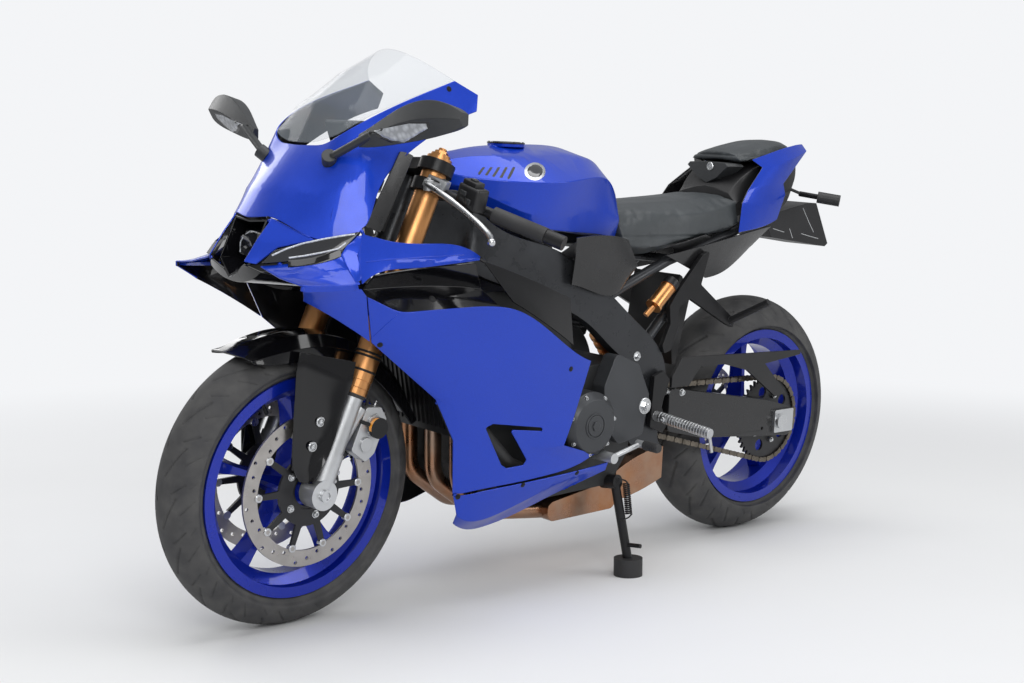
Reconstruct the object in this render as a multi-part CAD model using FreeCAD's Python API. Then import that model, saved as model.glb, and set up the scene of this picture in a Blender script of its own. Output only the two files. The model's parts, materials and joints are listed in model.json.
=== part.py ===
import FreeCAD, Part
import math
import os

from FreeCAD import Vector

# A sport motorcycle leaning on its side stand, in millimetres.
# It is drawn upright first: X points forward, Y to its left and Z up, and the
# origin is on the ground under the rear axle. The whole bike is then leaned
# over to its left and moved so that the middle of its footprint is the origin.

# Driving sizes. Places in tables are shares of reach, side_width and tank_height.
wheelbase = 1420.0
wheelbase_share = 1.42
reach = wheelbase / wheelbase_share
side_width = 200.0
tank_height = 1000.0
lean_angle = 3.78
steer_angle = 2.98
steer_limit = 28.0
stand_fold_angle = 80.0
rake_angle = 22.6

# Wheels and brakes
front_tyre_radius = 300.0
front_tyre_width = 120.0
rear_tyre_radius = 315.0
rear_tyre_width = 180.0
tyre_shoulder_share = 0.40
tyre_crown_share = 0.86
tread_steps_share = (0.0, 0.34, 0.68, 1.0)
rim_seat_radius = 216.0
rim_lip = 16.0
rim_wall = 6.0
rim_drop = 22.0
rim_outer_shares = ((0.62, 0.0), (0.42, 1.0))
rim_inner_shares = ((0.38, 1.0), (0.60, 0.0))
front_rim_width = 104.0
rear_rim_width = 154.0
hub_radius = 34.0
front_hub_width = 128.0
rear_hub_width = 176.0
spoke_count = 5
spoke_root_width = 46.0
spoke_waist_width = 24.0
spoke_tip_width = 58.0
spoke_root_depth = 44.0
spoke_tip_depth = 30.0
spoke_root_share = 0.8
disc_radius = 160.0
disc_inner_radius = 126.0
disc_thickness = 5.0
disc_plane = 73.0
disc_hole_radius = 4.0
disc_hole_shares = ((0.2, 0.28), (0.5, 0.52), (0.8, 0.76))
carrier_radius = 121.0
carrier_inner_radius = 40.0
carrier_thickness = 6.0
carrier_bell_share = 0.62
carrier_arm_width = 16.0
carrier_arm_shares = (0.5, 0.7)
bobbin_radius = 7.5
bobbin_length = 10.0
bobbin_count = 10
rear_disc_radius = 110.0
rear_disc_inner_radius = 84.0
rear_disc_plane = -100.0
rear_carrier_radius = 80.0
rear_axle_radius = 14.0
sprocket_bore = 42.0
sprocket_window_pitch = 74.0
sprocket_window_radius = 15.0
sprocket_tooth_shares = ((0.12, 0.0), (0.40, 1.0), (0.60, 1.0), (0.88, 0.0))
sprocket_depth_shares = (0.8, 0.7)

# Chain drive
chain_pitch = 15.875
rear_teeth = 44
front_teeth = 16
chain_plane = 104.0
chain_width = 17.0
chain_plate = 3.0
chain_half_height = 7.5
chain_core_share = 0.5
rear_core_room = 150.0
sprocket_thickness = 6.0
front_sprocket_shares = (0.590, 0.0, 0.400)

# Steering and fork
fork_half_spacing = 105.0
fork_offset = 28.5
outer_tube_radius = 27.0
inner_tube_radius = 21.5
fork_top_height = 735.0
fork_cap_height = 7.0
fork_cap_radius = 21.0
outer_tube_low_height = 265.0
fork_foot_height = 88.0
inner_tube_low_height = 35.0
foot_radius = 25.0
foot_width = 46.0
foot_eye_share = 1.25
foot_shares = (0.96, 0.75, 0.35, 0.45, 0.5)
stem_radius = 15.0
head_tube_radius = 31.0
head_tube_low_height = 532.0
head_tube_top_height = 694.0
lower_clamp_height = 486.0
upper_clamp_height = 700.0
clamp_thickness = 26.0
clamp_wall = 11.0
clamp_stem_shares = (0.7, 0.5)
clamp_leg_shares = (0.75, 0.35)
stem_nut_height = 9.0
stem_gap = 1.0
front_axle_radius = 12.5
front_axle_bore = 8.5
front_axle_half_length = 136.0
axle_spacer_radius = 17.0
caliper_length = 118.0
caliper_depth = 62.0
caliper_slot = 20.0
caliper_half_width = 42.0
caliper_height = 150.0
caliper_setback = 66.0
caliper_corner = 7.5
caliper_outline_shares = ((-1.0, -0.55), (-0.8, 0.95), (0.8, 0.95), (1.0, -0.2), (0.7, -1.0), (-0.6, -1.0))
caliper_piston_radius = 15.0
caliper_piston_height = 5.0
caliper_piston_shares = (-0.42, 0.42)
bar_height = 668.0
bar_end_shares = (1.036, 1.70, 0.832)
bar_radius = 11.0
bar_weight_length = 40.0
bar_weight_radius = 15.3
grip_radius = 17.0
grip_length = 122.0
perch_length = 30.0
perch_radius = 19.8
switch_length = 48.0
switch_radius = 25.0
lever_reach = 62.0
lever_drop = 6.0
lever_radius = 6.0
lever_ball = 8.5
lever_shares = (0.55, 0.3, 0.4, 0.45)
reservoir_radius = 22.0
reservoir_height = 48.0
reservoir_stay_radius = 9.0
master_radius = 13.0
hose_radius = 3.5
hose_shares = ((0.29, -1.70, -0.52), (0.41, -1.26, -0.22), (0.60, -1.26, -0.22), (0.68, -0.89, -0.52))
reflector_height = 166.0
reflector_setback = 76.0
reflector_stand = 24.0
reflector_radius = 22.0
reflector_thickness = 8.0
reflector_stalk_radius = 4.0
fender_radius = 314.0
fender_half_width = 72.0
fender_start_angle = 62.0
fender_end_angle = 158.0
fender_skirt = 46.0
fender_steps = 8
fender_section_shares = (
    (1.0, 1.0), (0.98, 0.45), (0.62, 0.0), (0.0, -0.1), (-0.62, 0.0), (-0.98, 0.45), (-1.0, 1.0),
)
fender_taper_shares = (0.15, 0.8, 1.0, 1.0, 1.0, 1.0, 1.0, 0.9, 0.6)
guard_shares = (
    (1.452, 0.560), (1.395, 0.575), (1.432, 0.450), (1.448, 0.340), (1.476, 0.352), (1.470, 0.430),
)
guard_inner = 84.0
guard_outer = 90.0

# Frame, swingarm and shock absorber
spar_shares = (
    ((1.105, 0.890), (1.168, 0.790), 0.08, 0.30),
    ((1.020, 0.860), (1.060, 0.750), 0.42, 0.60),
    ((0.850, 0.790), (0.880, 0.680), 0.56, 0.74),
    ((0.700, 0.715), (0.715, 0.610), 0.58, 0.74),
    ((0.560, 0.610), (0.630, 0.545), 0.58, 0.74),
    ((0.452, 0.510), (0.540, 0.470), 0.59, 0.72),
    ((0.440, 0.425), (0.535, 0.410), 0.59, 0.71),
    ((0.435, 0.300), (0.530, 0.300), 0.58, 0.70),
)
pivot_shares = (0.487, 0.0, 0.405)
pivot_radius = 17.0
pivot_half_width = 150.0
shock_mount_shares = (0.575, 0.0, 0.588)
shock_mount_radius = 15.0
seat_rail_shares = ((0.640, 0.66, 0.672), (0.430, 0.58, 0.746), (0.185, 0.50, 0.806), (0.070, 0.42, 0.850))
seat_stay_shares = ((0.500, 0.64, 0.560), (0.260, 0.52, 0.770))
rail_radius = 13.0
rail_bend = 104.0
cross_tube_radius = 11.7
subframe_cross_shares = ((0.420, 0.0, 0.748), (0.200, 0.0, 0.802))
subframe_cross_widths = (114.0, 100.0)
arm_pivot_radius = 24.0
arm_inner = 114.0
arm_shares = (
    (0.424, 0.438), (0.368, 0.428), (0.050, 0.375), (-0.045, 0.350), (-0.066, 0.335),
    (-0.066, 0.285), (-0.045, 0.272), (0.298, 0.300), (0.424, 0.330),
)
arm_thickness = 30.0
arm_corner = 14.0
cross_member_shares = ((0.424, 0.413), (0.345, 0.408), (0.345, 0.340), (0.424, 0.345))
neck_shares = ((0.495, 0.420), (0.380, 0.416), (0.380, 0.340), (0.495, 0.388))
neck_inner = 62.0
neck_outer = 90.0
axle_half_length = 162.0
adjuster_shares = ((0.020, 0.345), (-0.055, 0.345), (-0.055, 0.285), (0.020, 0.285))
adjuster_thickness = 8.0
adjuster_corner = 4.0
axle_nut_radius = 19.0
spool_shares = (0.060, 0.0, 0.300)
spool_bore = 4.0
spool_depth = 20.0
shock_shares = ((0.556, 0.0, 0.598), (0.404, 0.0, 0.408))
shock_rod_radius = 12.0
shock_body_radius = 21.0
shock_body_share = 0.42
spring_radius = 30.0
spring_wire = 5.5
spring_turns = 7
spring_shares = (0.20, 0.80)
reservoir_shares = ((0.500, 0.72, 0.640), (0.447, 0.70, 0.684), (0.432, 0.69, 0.697))
shock_reservoir_radius = 18.0
reservoir_cap_radius = 20.0
reservoir_foot_shares = ((0.520, 0.70, 0.620), (0.500, 0.72, 0.640))
reservoir_foot_radius = 7.0
reservoir_flange = 6.0
guard_plane = 148.0
chain_guard_width = 8.0
chain_guard_shares = (
    (0.398, 0.512), (-0.063, 0.500), (-0.063, 0.489), (0.080, 0.474), (-0.010, 0.392), (0.030, 0.384),
    (0.150, 0.462), (0.239, 0.484), (0.330, 0.486), (0.368, 0.440), (0.431, 0.440), (0.431, 0.466),
)
rear_caliper_shares = ((0.045, 0.256), (0.045, 0.200), (0.110, 0.196), (0.140, 0.262))
rear_caliper_reach = 24.0
rear_caliper_slot = 6.5
rear_caliper_corner = 8.0
rear_bracket_shares = ((0.060, 0.240), (0.120, 0.245), (0.130, 0.290), (0.050, 0.285))
rear_bracket_planes = (-130.0, -117.0)

# Engine, exhaust and cooling
crankcase_shares = (
    (0.575, 0.520), (0.565, 0.300), (0.620, 0.225), (0.930, 0.215), (1.000, 0.290), (1.000, 0.420),
    (0.920, 0.500),
)
cylinder_shares = ((0.700, 0.490), (0.960, 0.400), (1.060, 0.600), (0.990, 0.690), (0.790, 0.690))
engine_half_width = 150.0
cylinder_half_width = 108.0
left_cover_shares = (0.742, 0.0, 0.388)
left_cover_radius = 76.0
left_cover_face = 214.0
left_cap_radius = 24.0
left_cap_height = 3.0
clutch_cover_shares = (0.700, 0.0, 0.370)
clutch_cover_radius = 105.0
clutch_cover_face = 208.0
small_cover_shares = (0.900, 0.0, 0.420)
small_cover_radius = 45.6
cover_chamfer = 16.0
sprocket_cover_shares = (
    (0.660, 0.545), (0.585, 0.515), (0.545, 0.440), (0.560, 0.345), (0.640, 0.330), (0.690, 0.380),
    (0.695, 0.470),
)
sprocket_cover_face = 190.0
chain_room_shares = ((0.500, 0.470), (0.640, 0.470), (0.650, 0.400), (0.640, 0.335), (0.500, 0.320))
header_radius = 19.0
header_bend = 64.6
header_spacing = 88.0
header_shares = (
    (1.000, 0.0, 0.580), (1.048, 0.0, 0.555), (1.034, 0.0, 0.260), (0.930, 0.0, 0.185),
    (0.760, 0.0, 0.165),
)
header_squeeze_share = 0.85
header_run_count = 3
collector_shares = ((0.780, 0.190), (0.560, 0.225), (0.560, 0.150), (0.780, 0.145))
collector_half_width = 112.0
collector_corner = 19.0
muffler_sections_shares = (
    (0.560, -0.60, 0.55, 0.165, 0.240),
    (0.480, -0.66, 0.56, 0.180, 0.272),
    (0.400, -0.62, 0.56, 0.205, 0.285),
)
tail_pipe_radius = 24.0
tail_pipe_bore = 20.4
tail_pipe_shares = ((0.440, -0.62, 0.245), (0.400, -0.80, 0.250))
radiator_shares = ((1.126, 0.700), (1.154, 0.692), (1.094, 0.385), (1.066, 0.392))
radiator_half_width = 178.0
radiator_core_half_width = 158.0
radiator_stay_shares = ((1.120, 0.50, 0.690), (1.075, 0.50, 0.760))
radiator_stay_radius = 7.0
fin_count = 22
fin_thickness = 2.0
fin_height = 3.0
fin_run_shares = ((1.151, 0.680), (1.097, 0.400))
coolant_hose_radius = 15.0
coolant_hose_bend = 60.0
coolant_hose_shares = ((1.085, 0.74, 0.450), (1.040, 0.84, 0.400), (0.965, 0.87, 0.320), (0.915, 0.76, 0.300))

# Tank, seats and tail
tank_shares = (
    (1.070, ((0.0, 0.900), (0.24, 0.905), (0.32, 0.920), (0.30, 0.945), (0.16, 0.968), (0.0, 0.972))),
    (1.010, ((0.0, 0.880), (0.48, 0.882), (0.60, 0.900), (0.60, 0.935), (0.34, 0.982), (0.0, 0.992))),
    (0.900, ((0.0, 0.836), (0.72, 0.838), (0.80, 0.860), (0.88, 0.932), (0.46, 0.986), (0.0, 1.006))),
    (0.760, ((0.0, 0.816), (0.74, 0.820), (0.74, 0.862), (0.84, 0.942), (0.44, 0.990), (0.0, 1.010))),
    (0.670, ((0.0, 0.808), (0.66, 0.812), (0.68, 0.860), (0.68, 0.940), (0.38, 0.982), (0.0, 0.998))),
    (0.610, ((0.0, 0.800), (0.56, 0.804), (0.62, 0.845), (0.54, 0.900), (0.30, 0.945), (0.0, 0.958))),
)
cap_shares = (0.860, 0.0, 1.003)
cap_radius = 42.0
cap_height = 9.0
rider_seat_shares = (
    (0.605, ((0.0, 0.770), (0.55, 0.765), (0.70, 0.790), (0.52, 0.855), (0.26, 0.872), (0.0, 0.874))),
    (0.520, ((0.0, 0.775), (0.60, 0.762), (0.76, 0.778), (0.58, 0.862), (0.28, 0.878), (0.0, 0.880))),
    (0.400, ((0.0, 0.790), (0.62, 0.780), (0.76, 0.796), (0.70, 0.858), (0.36, 0.884), (0.0, 0.888))),
    (0.280, ((0.0, 0.812), (0.60, 0.802), (0.72, 0.815), (0.68, 0.868), (0.38, 0.892), (0.0, 0.896))),
    (0.180, ((0.0, 0.835), (0.55, 0.822), (0.66, 0.832), (0.60, 0.892), (0.34, 0.904), (0.0, 0.906))),
)
pillion_seat_shares = (
    (0.150, ((0.0, 0.985), (0.30, 0.982), (0.44, 0.984), (0.36, 0.998), (0.18, 1.006), (0.0, 1.008))),
    (0.060, ((0.0, 0.990), (0.34, 0.990), (0.50, 0.994), (0.42, 1.018), (0.20, 1.028), (0.0, 1.030))),
    (-0.050, ((0.0, 1.002), (0.28, 1.002), (0.40, 1.006), (0.34, 1.030), (0.18, 1.040), (0.0, 1.042))),
    (-0.090, ((0.0, 1.010), (0.22, 1.010), (0.32, 1.014), (0.26, 1.026), (0.14, 1.034), (0.0, 1.036))),
)
lock_cover_shares = (
    (0.175, ((0.0, 0.928), (0.16, 0.942), (0.34, 0.972), (0.30, 0.980), (0.15, 0.982), (0.0, 0.982))),
    (0.130, ((0.0, 0.924), (0.18, 0.938), (0.42, 0.974), (0.38, 0.980), (0.20, 0.982), (0.0, 0.982))),
)
tail_core_shares = (
    (0.180, ((0.0, 0.840), (0.50, 0.838), (0.54, 0.880), (0.40, 0.905), (0.16, 0.918), (0.0, 0.922))),
    (0.060, ((0.0, 0.860), (0.44, 0.858), (0.50, 0.900), (0.46, 0.982), (0.20, 0.986), (0.0, 0.986))),
    (-0.060, ((0.0, 0.880), (0.36, 0.878), (0.42, 0.920), (0.36, 0.990), (0.18, 0.998), (0.0, 0.998))),
    (-0.120, ((0.0, 0.950), (0.22, 0.950), (0.26, 0.970), (0.24, 1.000), (0.12, 1.004), (0.0, 1.004))),
)
tail_rows_shares = (
    ((0.118, 0.48, 0.990), (0.040, 0.47, 1.010), (-0.038, 0.42, 1.026), (-0.125, 0.30, 1.034)),
    ((0.095, 0.56, 0.972), (0.020, 0.57, 0.985), (-0.050, 0.50, 1.000), (-0.131, 0.36, 1.018)),
    ((0.171, 0.66, 0.915), (0.100, 0.66, 0.925), (0.050, 0.62, 0.930), (0.010, 0.57, 0.932)),
    ((0.194, 0.68, 0.885), (0.120, 0.68, 0.880), (0.060, 0.64, 0.885), (0.004, 0.59, 0.905)),
    ((0.201, 0.68, 0.812), (0.150, 0.67, 0.818), (0.090, 0.63, 0.826), (0.026, 0.57, 0.842)),
)
under_cover_rows_shares = (
    ((0.466, 0.71, 0.762), (0.300, 0.70, 0.788), (0.197, 0.68, 0.806), (0.049, 0.58, 0.826)),
    ((0.300, 0.62, 0.700), (0.260, 0.60, 0.705), (0.217, 0.56, 0.715), (0.106, 0.52, 0.779)),
)
tank_cover_rows_shares = (
    ((0.800, 0.90, 0.812), (0.740, 0.88, 0.816), (0.660, 0.82, 0.812), (0.600, 0.72, 0.800)),
    ((0.790, 0.84, 0.760), (0.730, 0.82, 0.750), (0.650, 0.78, 0.742), (0.560, 0.70, 0.740)),
    ((0.790, 0.80, 0.705), (0.730, 0.78, 0.690), (0.657, 0.76, 0.674), (0.600, 0.70, 0.700)),
)
rear_fender_shares = (
    (0.330, 0.700), (0.300, 0.640), (0.338, 0.480), (0.350, 0.480), (0.360, 0.560), (0.340, 0.705),
)
rear_fender_half_width = 78.0
plate_shares = (
    (-0.160, 0.880), (-0.200, 0.880), (-0.262, 0.770), (-0.250, 0.762), (-0.020, 0.790), (0.020, 0.845),
)
plate_half_width = 68.0
indicator_shares = ((-0.125, 0.34, 0.905), (-0.130, 0.62, 0.900))
indicator_lamp_shares = ((-0.118, 0.66, 0.900), (-0.150, 0.90, 0.893))
indicator_stem_radius = 7.0
indicator_lamp_radius = 15.0
tail_lamp_shares = ((-0.128, 0.995), (-0.128, 0.965), (-0.112, 0.960), (-0.112, 0.998))
tail_lamp_half_width = 42.0

# Fairing
panel = 3.5
glass = 3.0
screen_rows_shares = (
    ((1.136, 0.75, 1.137), (1.172, 0.52, 1.168), (1.192, 0.26, 1.190), (1.200, 0.0, 1.198)),
    ((1.240, 0.73, 1.098), (1.262, 0.55, 1.122), (1.280, 0.28, 1.142), (1.286, 0.0, 1.148)),
    ((1.340, 0.68, 1.056), (1.350, 0.54, 1.070), (1.358, 0.28, 1.082), (1.362, 0.0, 1.086)),
    ((1.394, 0.55, 1.020), (1.402, 0.44, 1.012), (1.408, 0.24, 1.002), (1.411, 0.0, 1.000)),
)
nose_rows_shares = (
    ((1.136, 0.755, 1.136), (1.267, 0.775, 1.088), (1.353, 0.70, 1.046), (1.394, 0.56, 1.015),
     (1.404, 0.40, 0.999), (1.409, 0.20, 0.995), (1.412, 0.0, 0.994)),
    ((1.085, 0.830, 1.110), (1.235, 0.875, 1.040), (1.345, 0.89, 0.975), (1.420, 0.80, 0.910),
     (1.455, 0.62, 0.900), (1.485, 0.30, 0.905), (1.495, 0.0, 0.908)),
    ((1.093, 0.870, 1.076), (1.266, 0.935, 0.994), (1.352, 0.97, 0.910), (1.391, 1.00, 0.838),
     (1.462, 0.75, 0.817), (1.514, 0.33, 0.854), (1.527, 0.0, 0.850)),
)
fang_rows_shares = (
    ((1.512, 0.33, 0.849), (1.487, 0.54, 0.833), (1.463, 0.74, 0.814)),
    ((1.542, 0.325, 0.811), (1.530, 0.42, 0.805), (1.518, 0.51, 0.797)),
    ((1.571, 0.32, 0.768), (1.563, 0.36, 0.766), (1.553, 0.40, 0.764)),
)
cheek_rows_shares = (
    ((1.391, 1.00, 0.834), (1.340, 1.06, 0.817), (1.250, 1.10, 0.810), (1.167, 1.13, 0.804),
     (1.124, 1.18, 0.784)),
    ((1.414, 1.08, 0.790), (1.350, 1.13, 0.785), (1.270, 1.16, 0.781), (1.190, 1.18, 0.779),
     (1.124, 1.188, 0.780)),
    ((1.412, 1.16, 0.736), (1.372, 1.15, 0.757), (1.290, 1.155, 0.764), (1.200, 1.175, 0.770),
     (1.126, 1.190, 0.776)),
)
winglet_rows_shares = (
    ((1.556, 0.50, 0.760), (1.500, 0.73, 0.770), (1.432, 1.00, 0.792)),
    ((1.556, 0.84, 0.745), (1.490, 1.06, 0.750), (1.420, 1.08, 0.756)),
    ((1.552, 1.20, 0.737), (1.490, 1.20, 0.735), (1.418, 1.17, 0.735)),
)
panel_nose_rows_shares = (
    ((1.549, 1.185, 0.731), (1.485, 1.185, 0.729), (1.414, 1.165, 0.728)),
    ((1.533, 1.08, 0.718), (1.470, 1.12, 0.711), (1.399, 1.145, 0.714)),
    ((1.522, 1.00, 0.708), (1.447, 1.00, 0.668), (1.366, 1.00, 0.619)),
)
side_panel_rows_shares = (
    ((1.396, 1.142, 0.712), (1.345, 1.16, 0.689), (1.318, 1.17, 0.680), (1.285, 1.175, 0.6785),
     (1.160, 1.19, 0.681),
     (1.060, 1.20, 0.6775), (1.030, 1.20, 0.672), (0.900, 1.18, 0.606), (0.779, 1.12, 0.542)),
    ((1.362, 1.00, 0.617), (1.330, 1.06, 0.614), (1.300, 1.10, 0.610), (1.260, 1.13, 0.604),
     (1.140, 1.16, 0.592),
     (1.050, 1.165, 0.580), (1.010, 1.165, 0.570), (0.900, 1.14, 0.530), (0.796, 1.115, 0.490)),
    ((1.195, 1.00, 0.489), (1.185, 1.02, 0.484), (1.165, 1.05, 0.479), (1.130, 1.07, 0.472),
     (1.060, 1.095, 0.462),
     (1.000, 1.10, 0.455), (0.960, 1.10, 0.449), (0.890, 1.10, 0.430), (0.822, 1.10, 0.410)),
    ((1.141, 0.97, 0.395), (1.130, 0.98, 0.392), (1.105, 1.00, 0.388), (1.070, 1.02, 0.384),
     (1.020, 1.05, 0.378),
     (0.980, 1.06, 0.373), (0.950, 1.065, 0.368), (0.900, 1.08, 0.360), (0.845, 1.10, 0.357)),
    ((1.130, 0.93, 0.278), (1.115, 0.945, 0.276), (1.090, 0.96, 0.277), (1.050, 0.98, 0.280),
     (0.980, 1.00, 0.283),
     (0.920, 1.01, 0.286), (0.880, 1.015, 0.289), (0.800, 1.01, 0.298), (0.735, 1.02, 0.322)),
)
lower_vent_shares = (
    (1.068, 0.417), (1.050, 0.424), (0.913, 0.403), (0.908, 0.395), (1.002, 0.407),
    (0.944, 0.333), (0.951, 0.322), (0.998, 0.320), (1.013, 0.329),
)
vent_corner = 4.0
belly_rows_shares = (
    ((1.128, 0.93, 0.274), (1.110, 0.95, 0.272), (1.060, 0.98, 0.275), (0.980, 1.00, 0.279),
     (0.880, 1.02, 0.284), (0.684, 1.00, 0.296)),
    ((1.112, 0.90, 0.229), (1.085, 0.90, 0.212), (1.040, 0.90, 0.208), (0.970, 0.91, 0.222),
     (0.880, 0.95, 0.250), (0.690, 0.99, 0.278)),
    ((1.101, 0.78, 0.202), (1.061, 0.70, 0.182), (1.030, 0.66, 0.174), (0.970, 0.68, 0.180),
     (0.910, 0.72, 0.196), (0.780, 0.88, 0.244)),
)
insert_rows_shares = (
    ((1.190, 0.97, 0.480), (1.160, 0.90, 0.480)),
    ((1.136, 0.94, 0.390), (1.108, 0.88, 0.390)),
    ((1.122, 0.90, 0.285), (1.092, 0.84, 0.285)),
)
blade_rows_shares = (
    ((1.111, 1.16, 0.774), (0.950, 1.09, 0.724), (0.834, 1.02, 0.682)),
    ((1.019, 1.13, 0.684), (0.910, 1.07, 0.630), (0.813, 1.00, 0.576)),
)
vent_rows_shares = (
    ((1.372, 1.08, 0.752), (1.290, 1.07, 0.760), (1.200, 1.08, 0.766), (1.126, 1.13, 0.770)),
    ((1.384, 0.98, 0.722), (1.290, 0.93, 0.722), (1.190, 0.93, 0.720), (1.085, 0.99, 0.712)),
    ((1.384, 1.07, 0.706), (1.316, 1.11, 0.674), (1.190, 1.13, 0.672), (1.050, 1.14, 0.670)),
)
duct_rows_shares = (
    ((1.296, 0.92, 0.990), (1.278, 0.915, 0.988), (1.262, 0.91, 0.982)),
    ((1.340, 0.96, 0.920), (1.322, 0.96, 0.912), (1.306, 0.955, 0.904)),
    ((1.385, 0.99, 0.845), (1.366, 0.99, 0.838), (1.348, 0.985, 0.832)),
)
mask_shares = (
    (1.600, ((0.0, 0.728), (0.31, 0.760), (0.31, 0.853), (0.0, 0.846))),
    (1.450, ((0.0, 0.744), (0.28, 0.764), (0.28, 0.845), (0.0, 0.842))),
)
mask_inner_shares = (
    (1.610, ((0.0, 0.732), (0.29, 0.764), (0.29, 0.849), (0.0, 0.842))),
    (1.454, ((0.0, 0.748), (0.26, 0.768), (0.26, 0.841), (0.0, 0.838))),
)
mask_face_shares = ((1.507, 0.875), (1.574, 0.715), (1.650, 0.715), (1.650, 0.875))
headlamp_shares = ((1.450, 0.790), (1.450, 0.832), (1.508, 0.822), (1.528, 0.772), (1.474, 0.764))
headlamp_half_width = 32.0
headlamp_corner = 10.0
lens_radius = 23.0
lens_shares = (1.505, 0.0, 0.797)
lens_way_shares = (1.0, 0.0, -0.25)
lens_length = 24.0
position_rows_shares = (
    ((1.529, 0.53, 0.790), (1.462, 0.76, 0.813), (1.394, 0.99, 0.831)),
    ((1.552, 0.50, 0.766), (1.498, 0.72, 0.775), (1.430, 0.98, 0.797)),
)
lens_thickness = 8.0
chin_rows_shares = (
    ((1.571, 0.31, 0.762), (1.564, 0.16, 0.748), (1.558, 0.0, 0.736)),
    ((1.554, 0.48, 0.750), (1.552, 0.24, 0.728), (1.550, 0.0, 0.722)),
    ((1.470, 0.86, 0.734), (1.470, 0.43, 0.718), (1.470, 0.0, 0.714)),
    ((1.380, 0.90, 0.722), (1.380, 0.45, 0.712), (1.380, 0.0, 0.708)),
)
dash_shares = ((1.262, 0.985), (1.290, 1.048), (1.302, 1.044), (1.276, 0.978))
dash_half_width = 74.0
dash_corner = 5.0
beam_shares = ((1.172, 0.800), (1.158, 0.868), (1.320, 0.915), (1.345, 0.905), (1.345, 0.880), (1.260, 0.845))
beam_half_width = 16.0
stay_arm_shares = ((1.330, 0.50, 0.896), (1.405, 0.50, 0.952))
dash_stay_shares = ((1.330, 0.0, 0.905), (1.292, 0.0, 1.000))
stay_radius = 9.0

# Mirrors, footrests, levers and stand
mirror_arm_shares = ((1.405, 0.50, 0.952), (1.417, 0.62, 0.974), (1.398, 1.15, 1.022))
mirror_arm_radius = 8.0
mirror_arm_bend = 50.0
mirror_pad_shares = ((1.412, 0.56, 0.964), (1.424, 0.64, 0.978))
mirror_pad_radius = 15.0
mirror_stations_shares = (
    (0.95, 1.404, 1.388, 0.996, 1.022),
    (1.25, 1.402, 1.366, 1.000, 1.052),
    (1.65, 1.394, 1.344, 1.012, 1.086),
    (2.00, 1.382, 1.336, 1.026, 1.088),
    (2.24, 1.362, 1.340, 1.044, 1.070),
)
mirror_shell_shares = (0.35, 0.12)
peg_shares = ((0.487, 0.78, 0.378), (0.474, 1.62, 0.362))
peg_radius = 12.0
peg_feeler_radius = 4.0
peg_feeler_shares = ((0.4742, 1.60, 0.363), (0.470, 1.64, 0.318))
peg_plate_shares = (
    (0.500, 0.474), (0.468, 0.486), (0.446, 0.462), (0.470, 0.400), (0.446, 0.352), (0.462, 0.334),
    (0.506, 0.352),
)
peg_plate_thickness = 12.0
peg_boss_shares = ((0.478, 0.0, 0.462), (0.462, 0.0, 0.350))
peg_boss_radius = 9.6
peg_boss_inner = 128.0
shift_shares = ((0.699, 0.312), (0.605, 0.334))
shift_plane = 226.0
shift_radius = 6.0
shift_boss_radius = 12.0
shift_toe_radius = 9.0
shift_toe_end = 284.0
pillion_hanger_shares = (
    (0.318, 0.772), (0.345, 0.760), (0.428, 0.672), (0.452, 0.640), (0.446, 0.596), (0.470, 0.545),
    (0.462, 0.526),
    (0.440, 0.532), (0.416, 0.590), (0.418, 0.636), (0.384, 0.656), (0.240, 0.584), (0.214, 0.574),
    (0.212, 0.596),
    (0.344, 0.688),
)
pillion_planes = (142.0, 154.0)
pillion_peg_shares = ((0.229, 0.73, 0.590), (0.201, 1.25, 0.650))
pillion_peg_radius = 9.0
pillion_corner = 5.0
stand_pivot_shares = (0.622, 0.84, 0.234)
stand_foot_shares = (0.600, 1.02, 0.052)
stand_axis_shares = (-0.10, 1.0, 0.133)
stand_radius = 11.0
stand_eye_radius = 17.0
stand_eye_half = 9.0
stand_lug_length = 26.5
puck_radius = 34.0
puck_height = 42.0
tang_length = 46.0
tang_radius = 5.0
tang_share = 0.78

# Clearances
boss_radius = 4.0
boss_depth = 2.0
seat_reach = 26.0
seam = 1.0
overrun = 400.0
running_gap = 6.0


def at(share):
    # A place from its shares of the bike's reach, side width and tank height.
    return Vector(reach * share[0], side_width * share[1], tank_height * share[2])


def places(shares):
    return [at(share) for share in shares]


def flat(shares, width):
    # A side view outline at one distance from the bike's middle plane.
    return [Vector(reach * x, width, tank_height * z) for x, z in shares]


def mirrored(shape):
    return shape.mirror(Vector(0, 0, 0), Vector(0, 1, 0))


def both(shape):
    return Part.makeCompound([shape, mirrored(shape)])


def joined(shapes):
    whole = shapes[0]
    for shape in shapes[1:]:
        whole = whole.fuse(shape)
    return whole.removeSplitter()


def rod(start, end, radius):
    span = end - start
    return Part.makeCylinder(radius, span.Length, start, span)


def hollow_rod(start, end, radius, bore):
    return rod(start, end, radius).cut(rod(start, end, bore))


def cross_rod(middle, low, high, radius):
    start = Vector(middle.x, low, middle.z)
    end = Vector(middle.x, high, middle.z)
    return rod(start, end, radius)


def closed_wire(points):
    return Part.makePolygon(points + [points[0]])


def corner_arc(back_point, here, ahead_point, radius):
    # The first, middle and last places of an arc that rounds one corner.
    # The arc takes no more than this share of the shorter run beside it.
    run_share = 0.45
    back = (back_point - here).normalize()
    ahead = (ahead_point - here).normalize()
    half_turn = back.getAngle(ahead) / 2
    shortest = min((back_point - here).Length, (ahead_point - here).Length)
    cut = min(radius / math.tan(half_turn), shortest * run_share)
    arc_radius = cut * math.tan(half_turn)
    inward = (back + ahead).normalize()
    middle = here + inward * (arc_radius / math.sin(half_turn) - arc_radius)
    return here + back * cut, middle, here + ahead * cut


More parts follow.
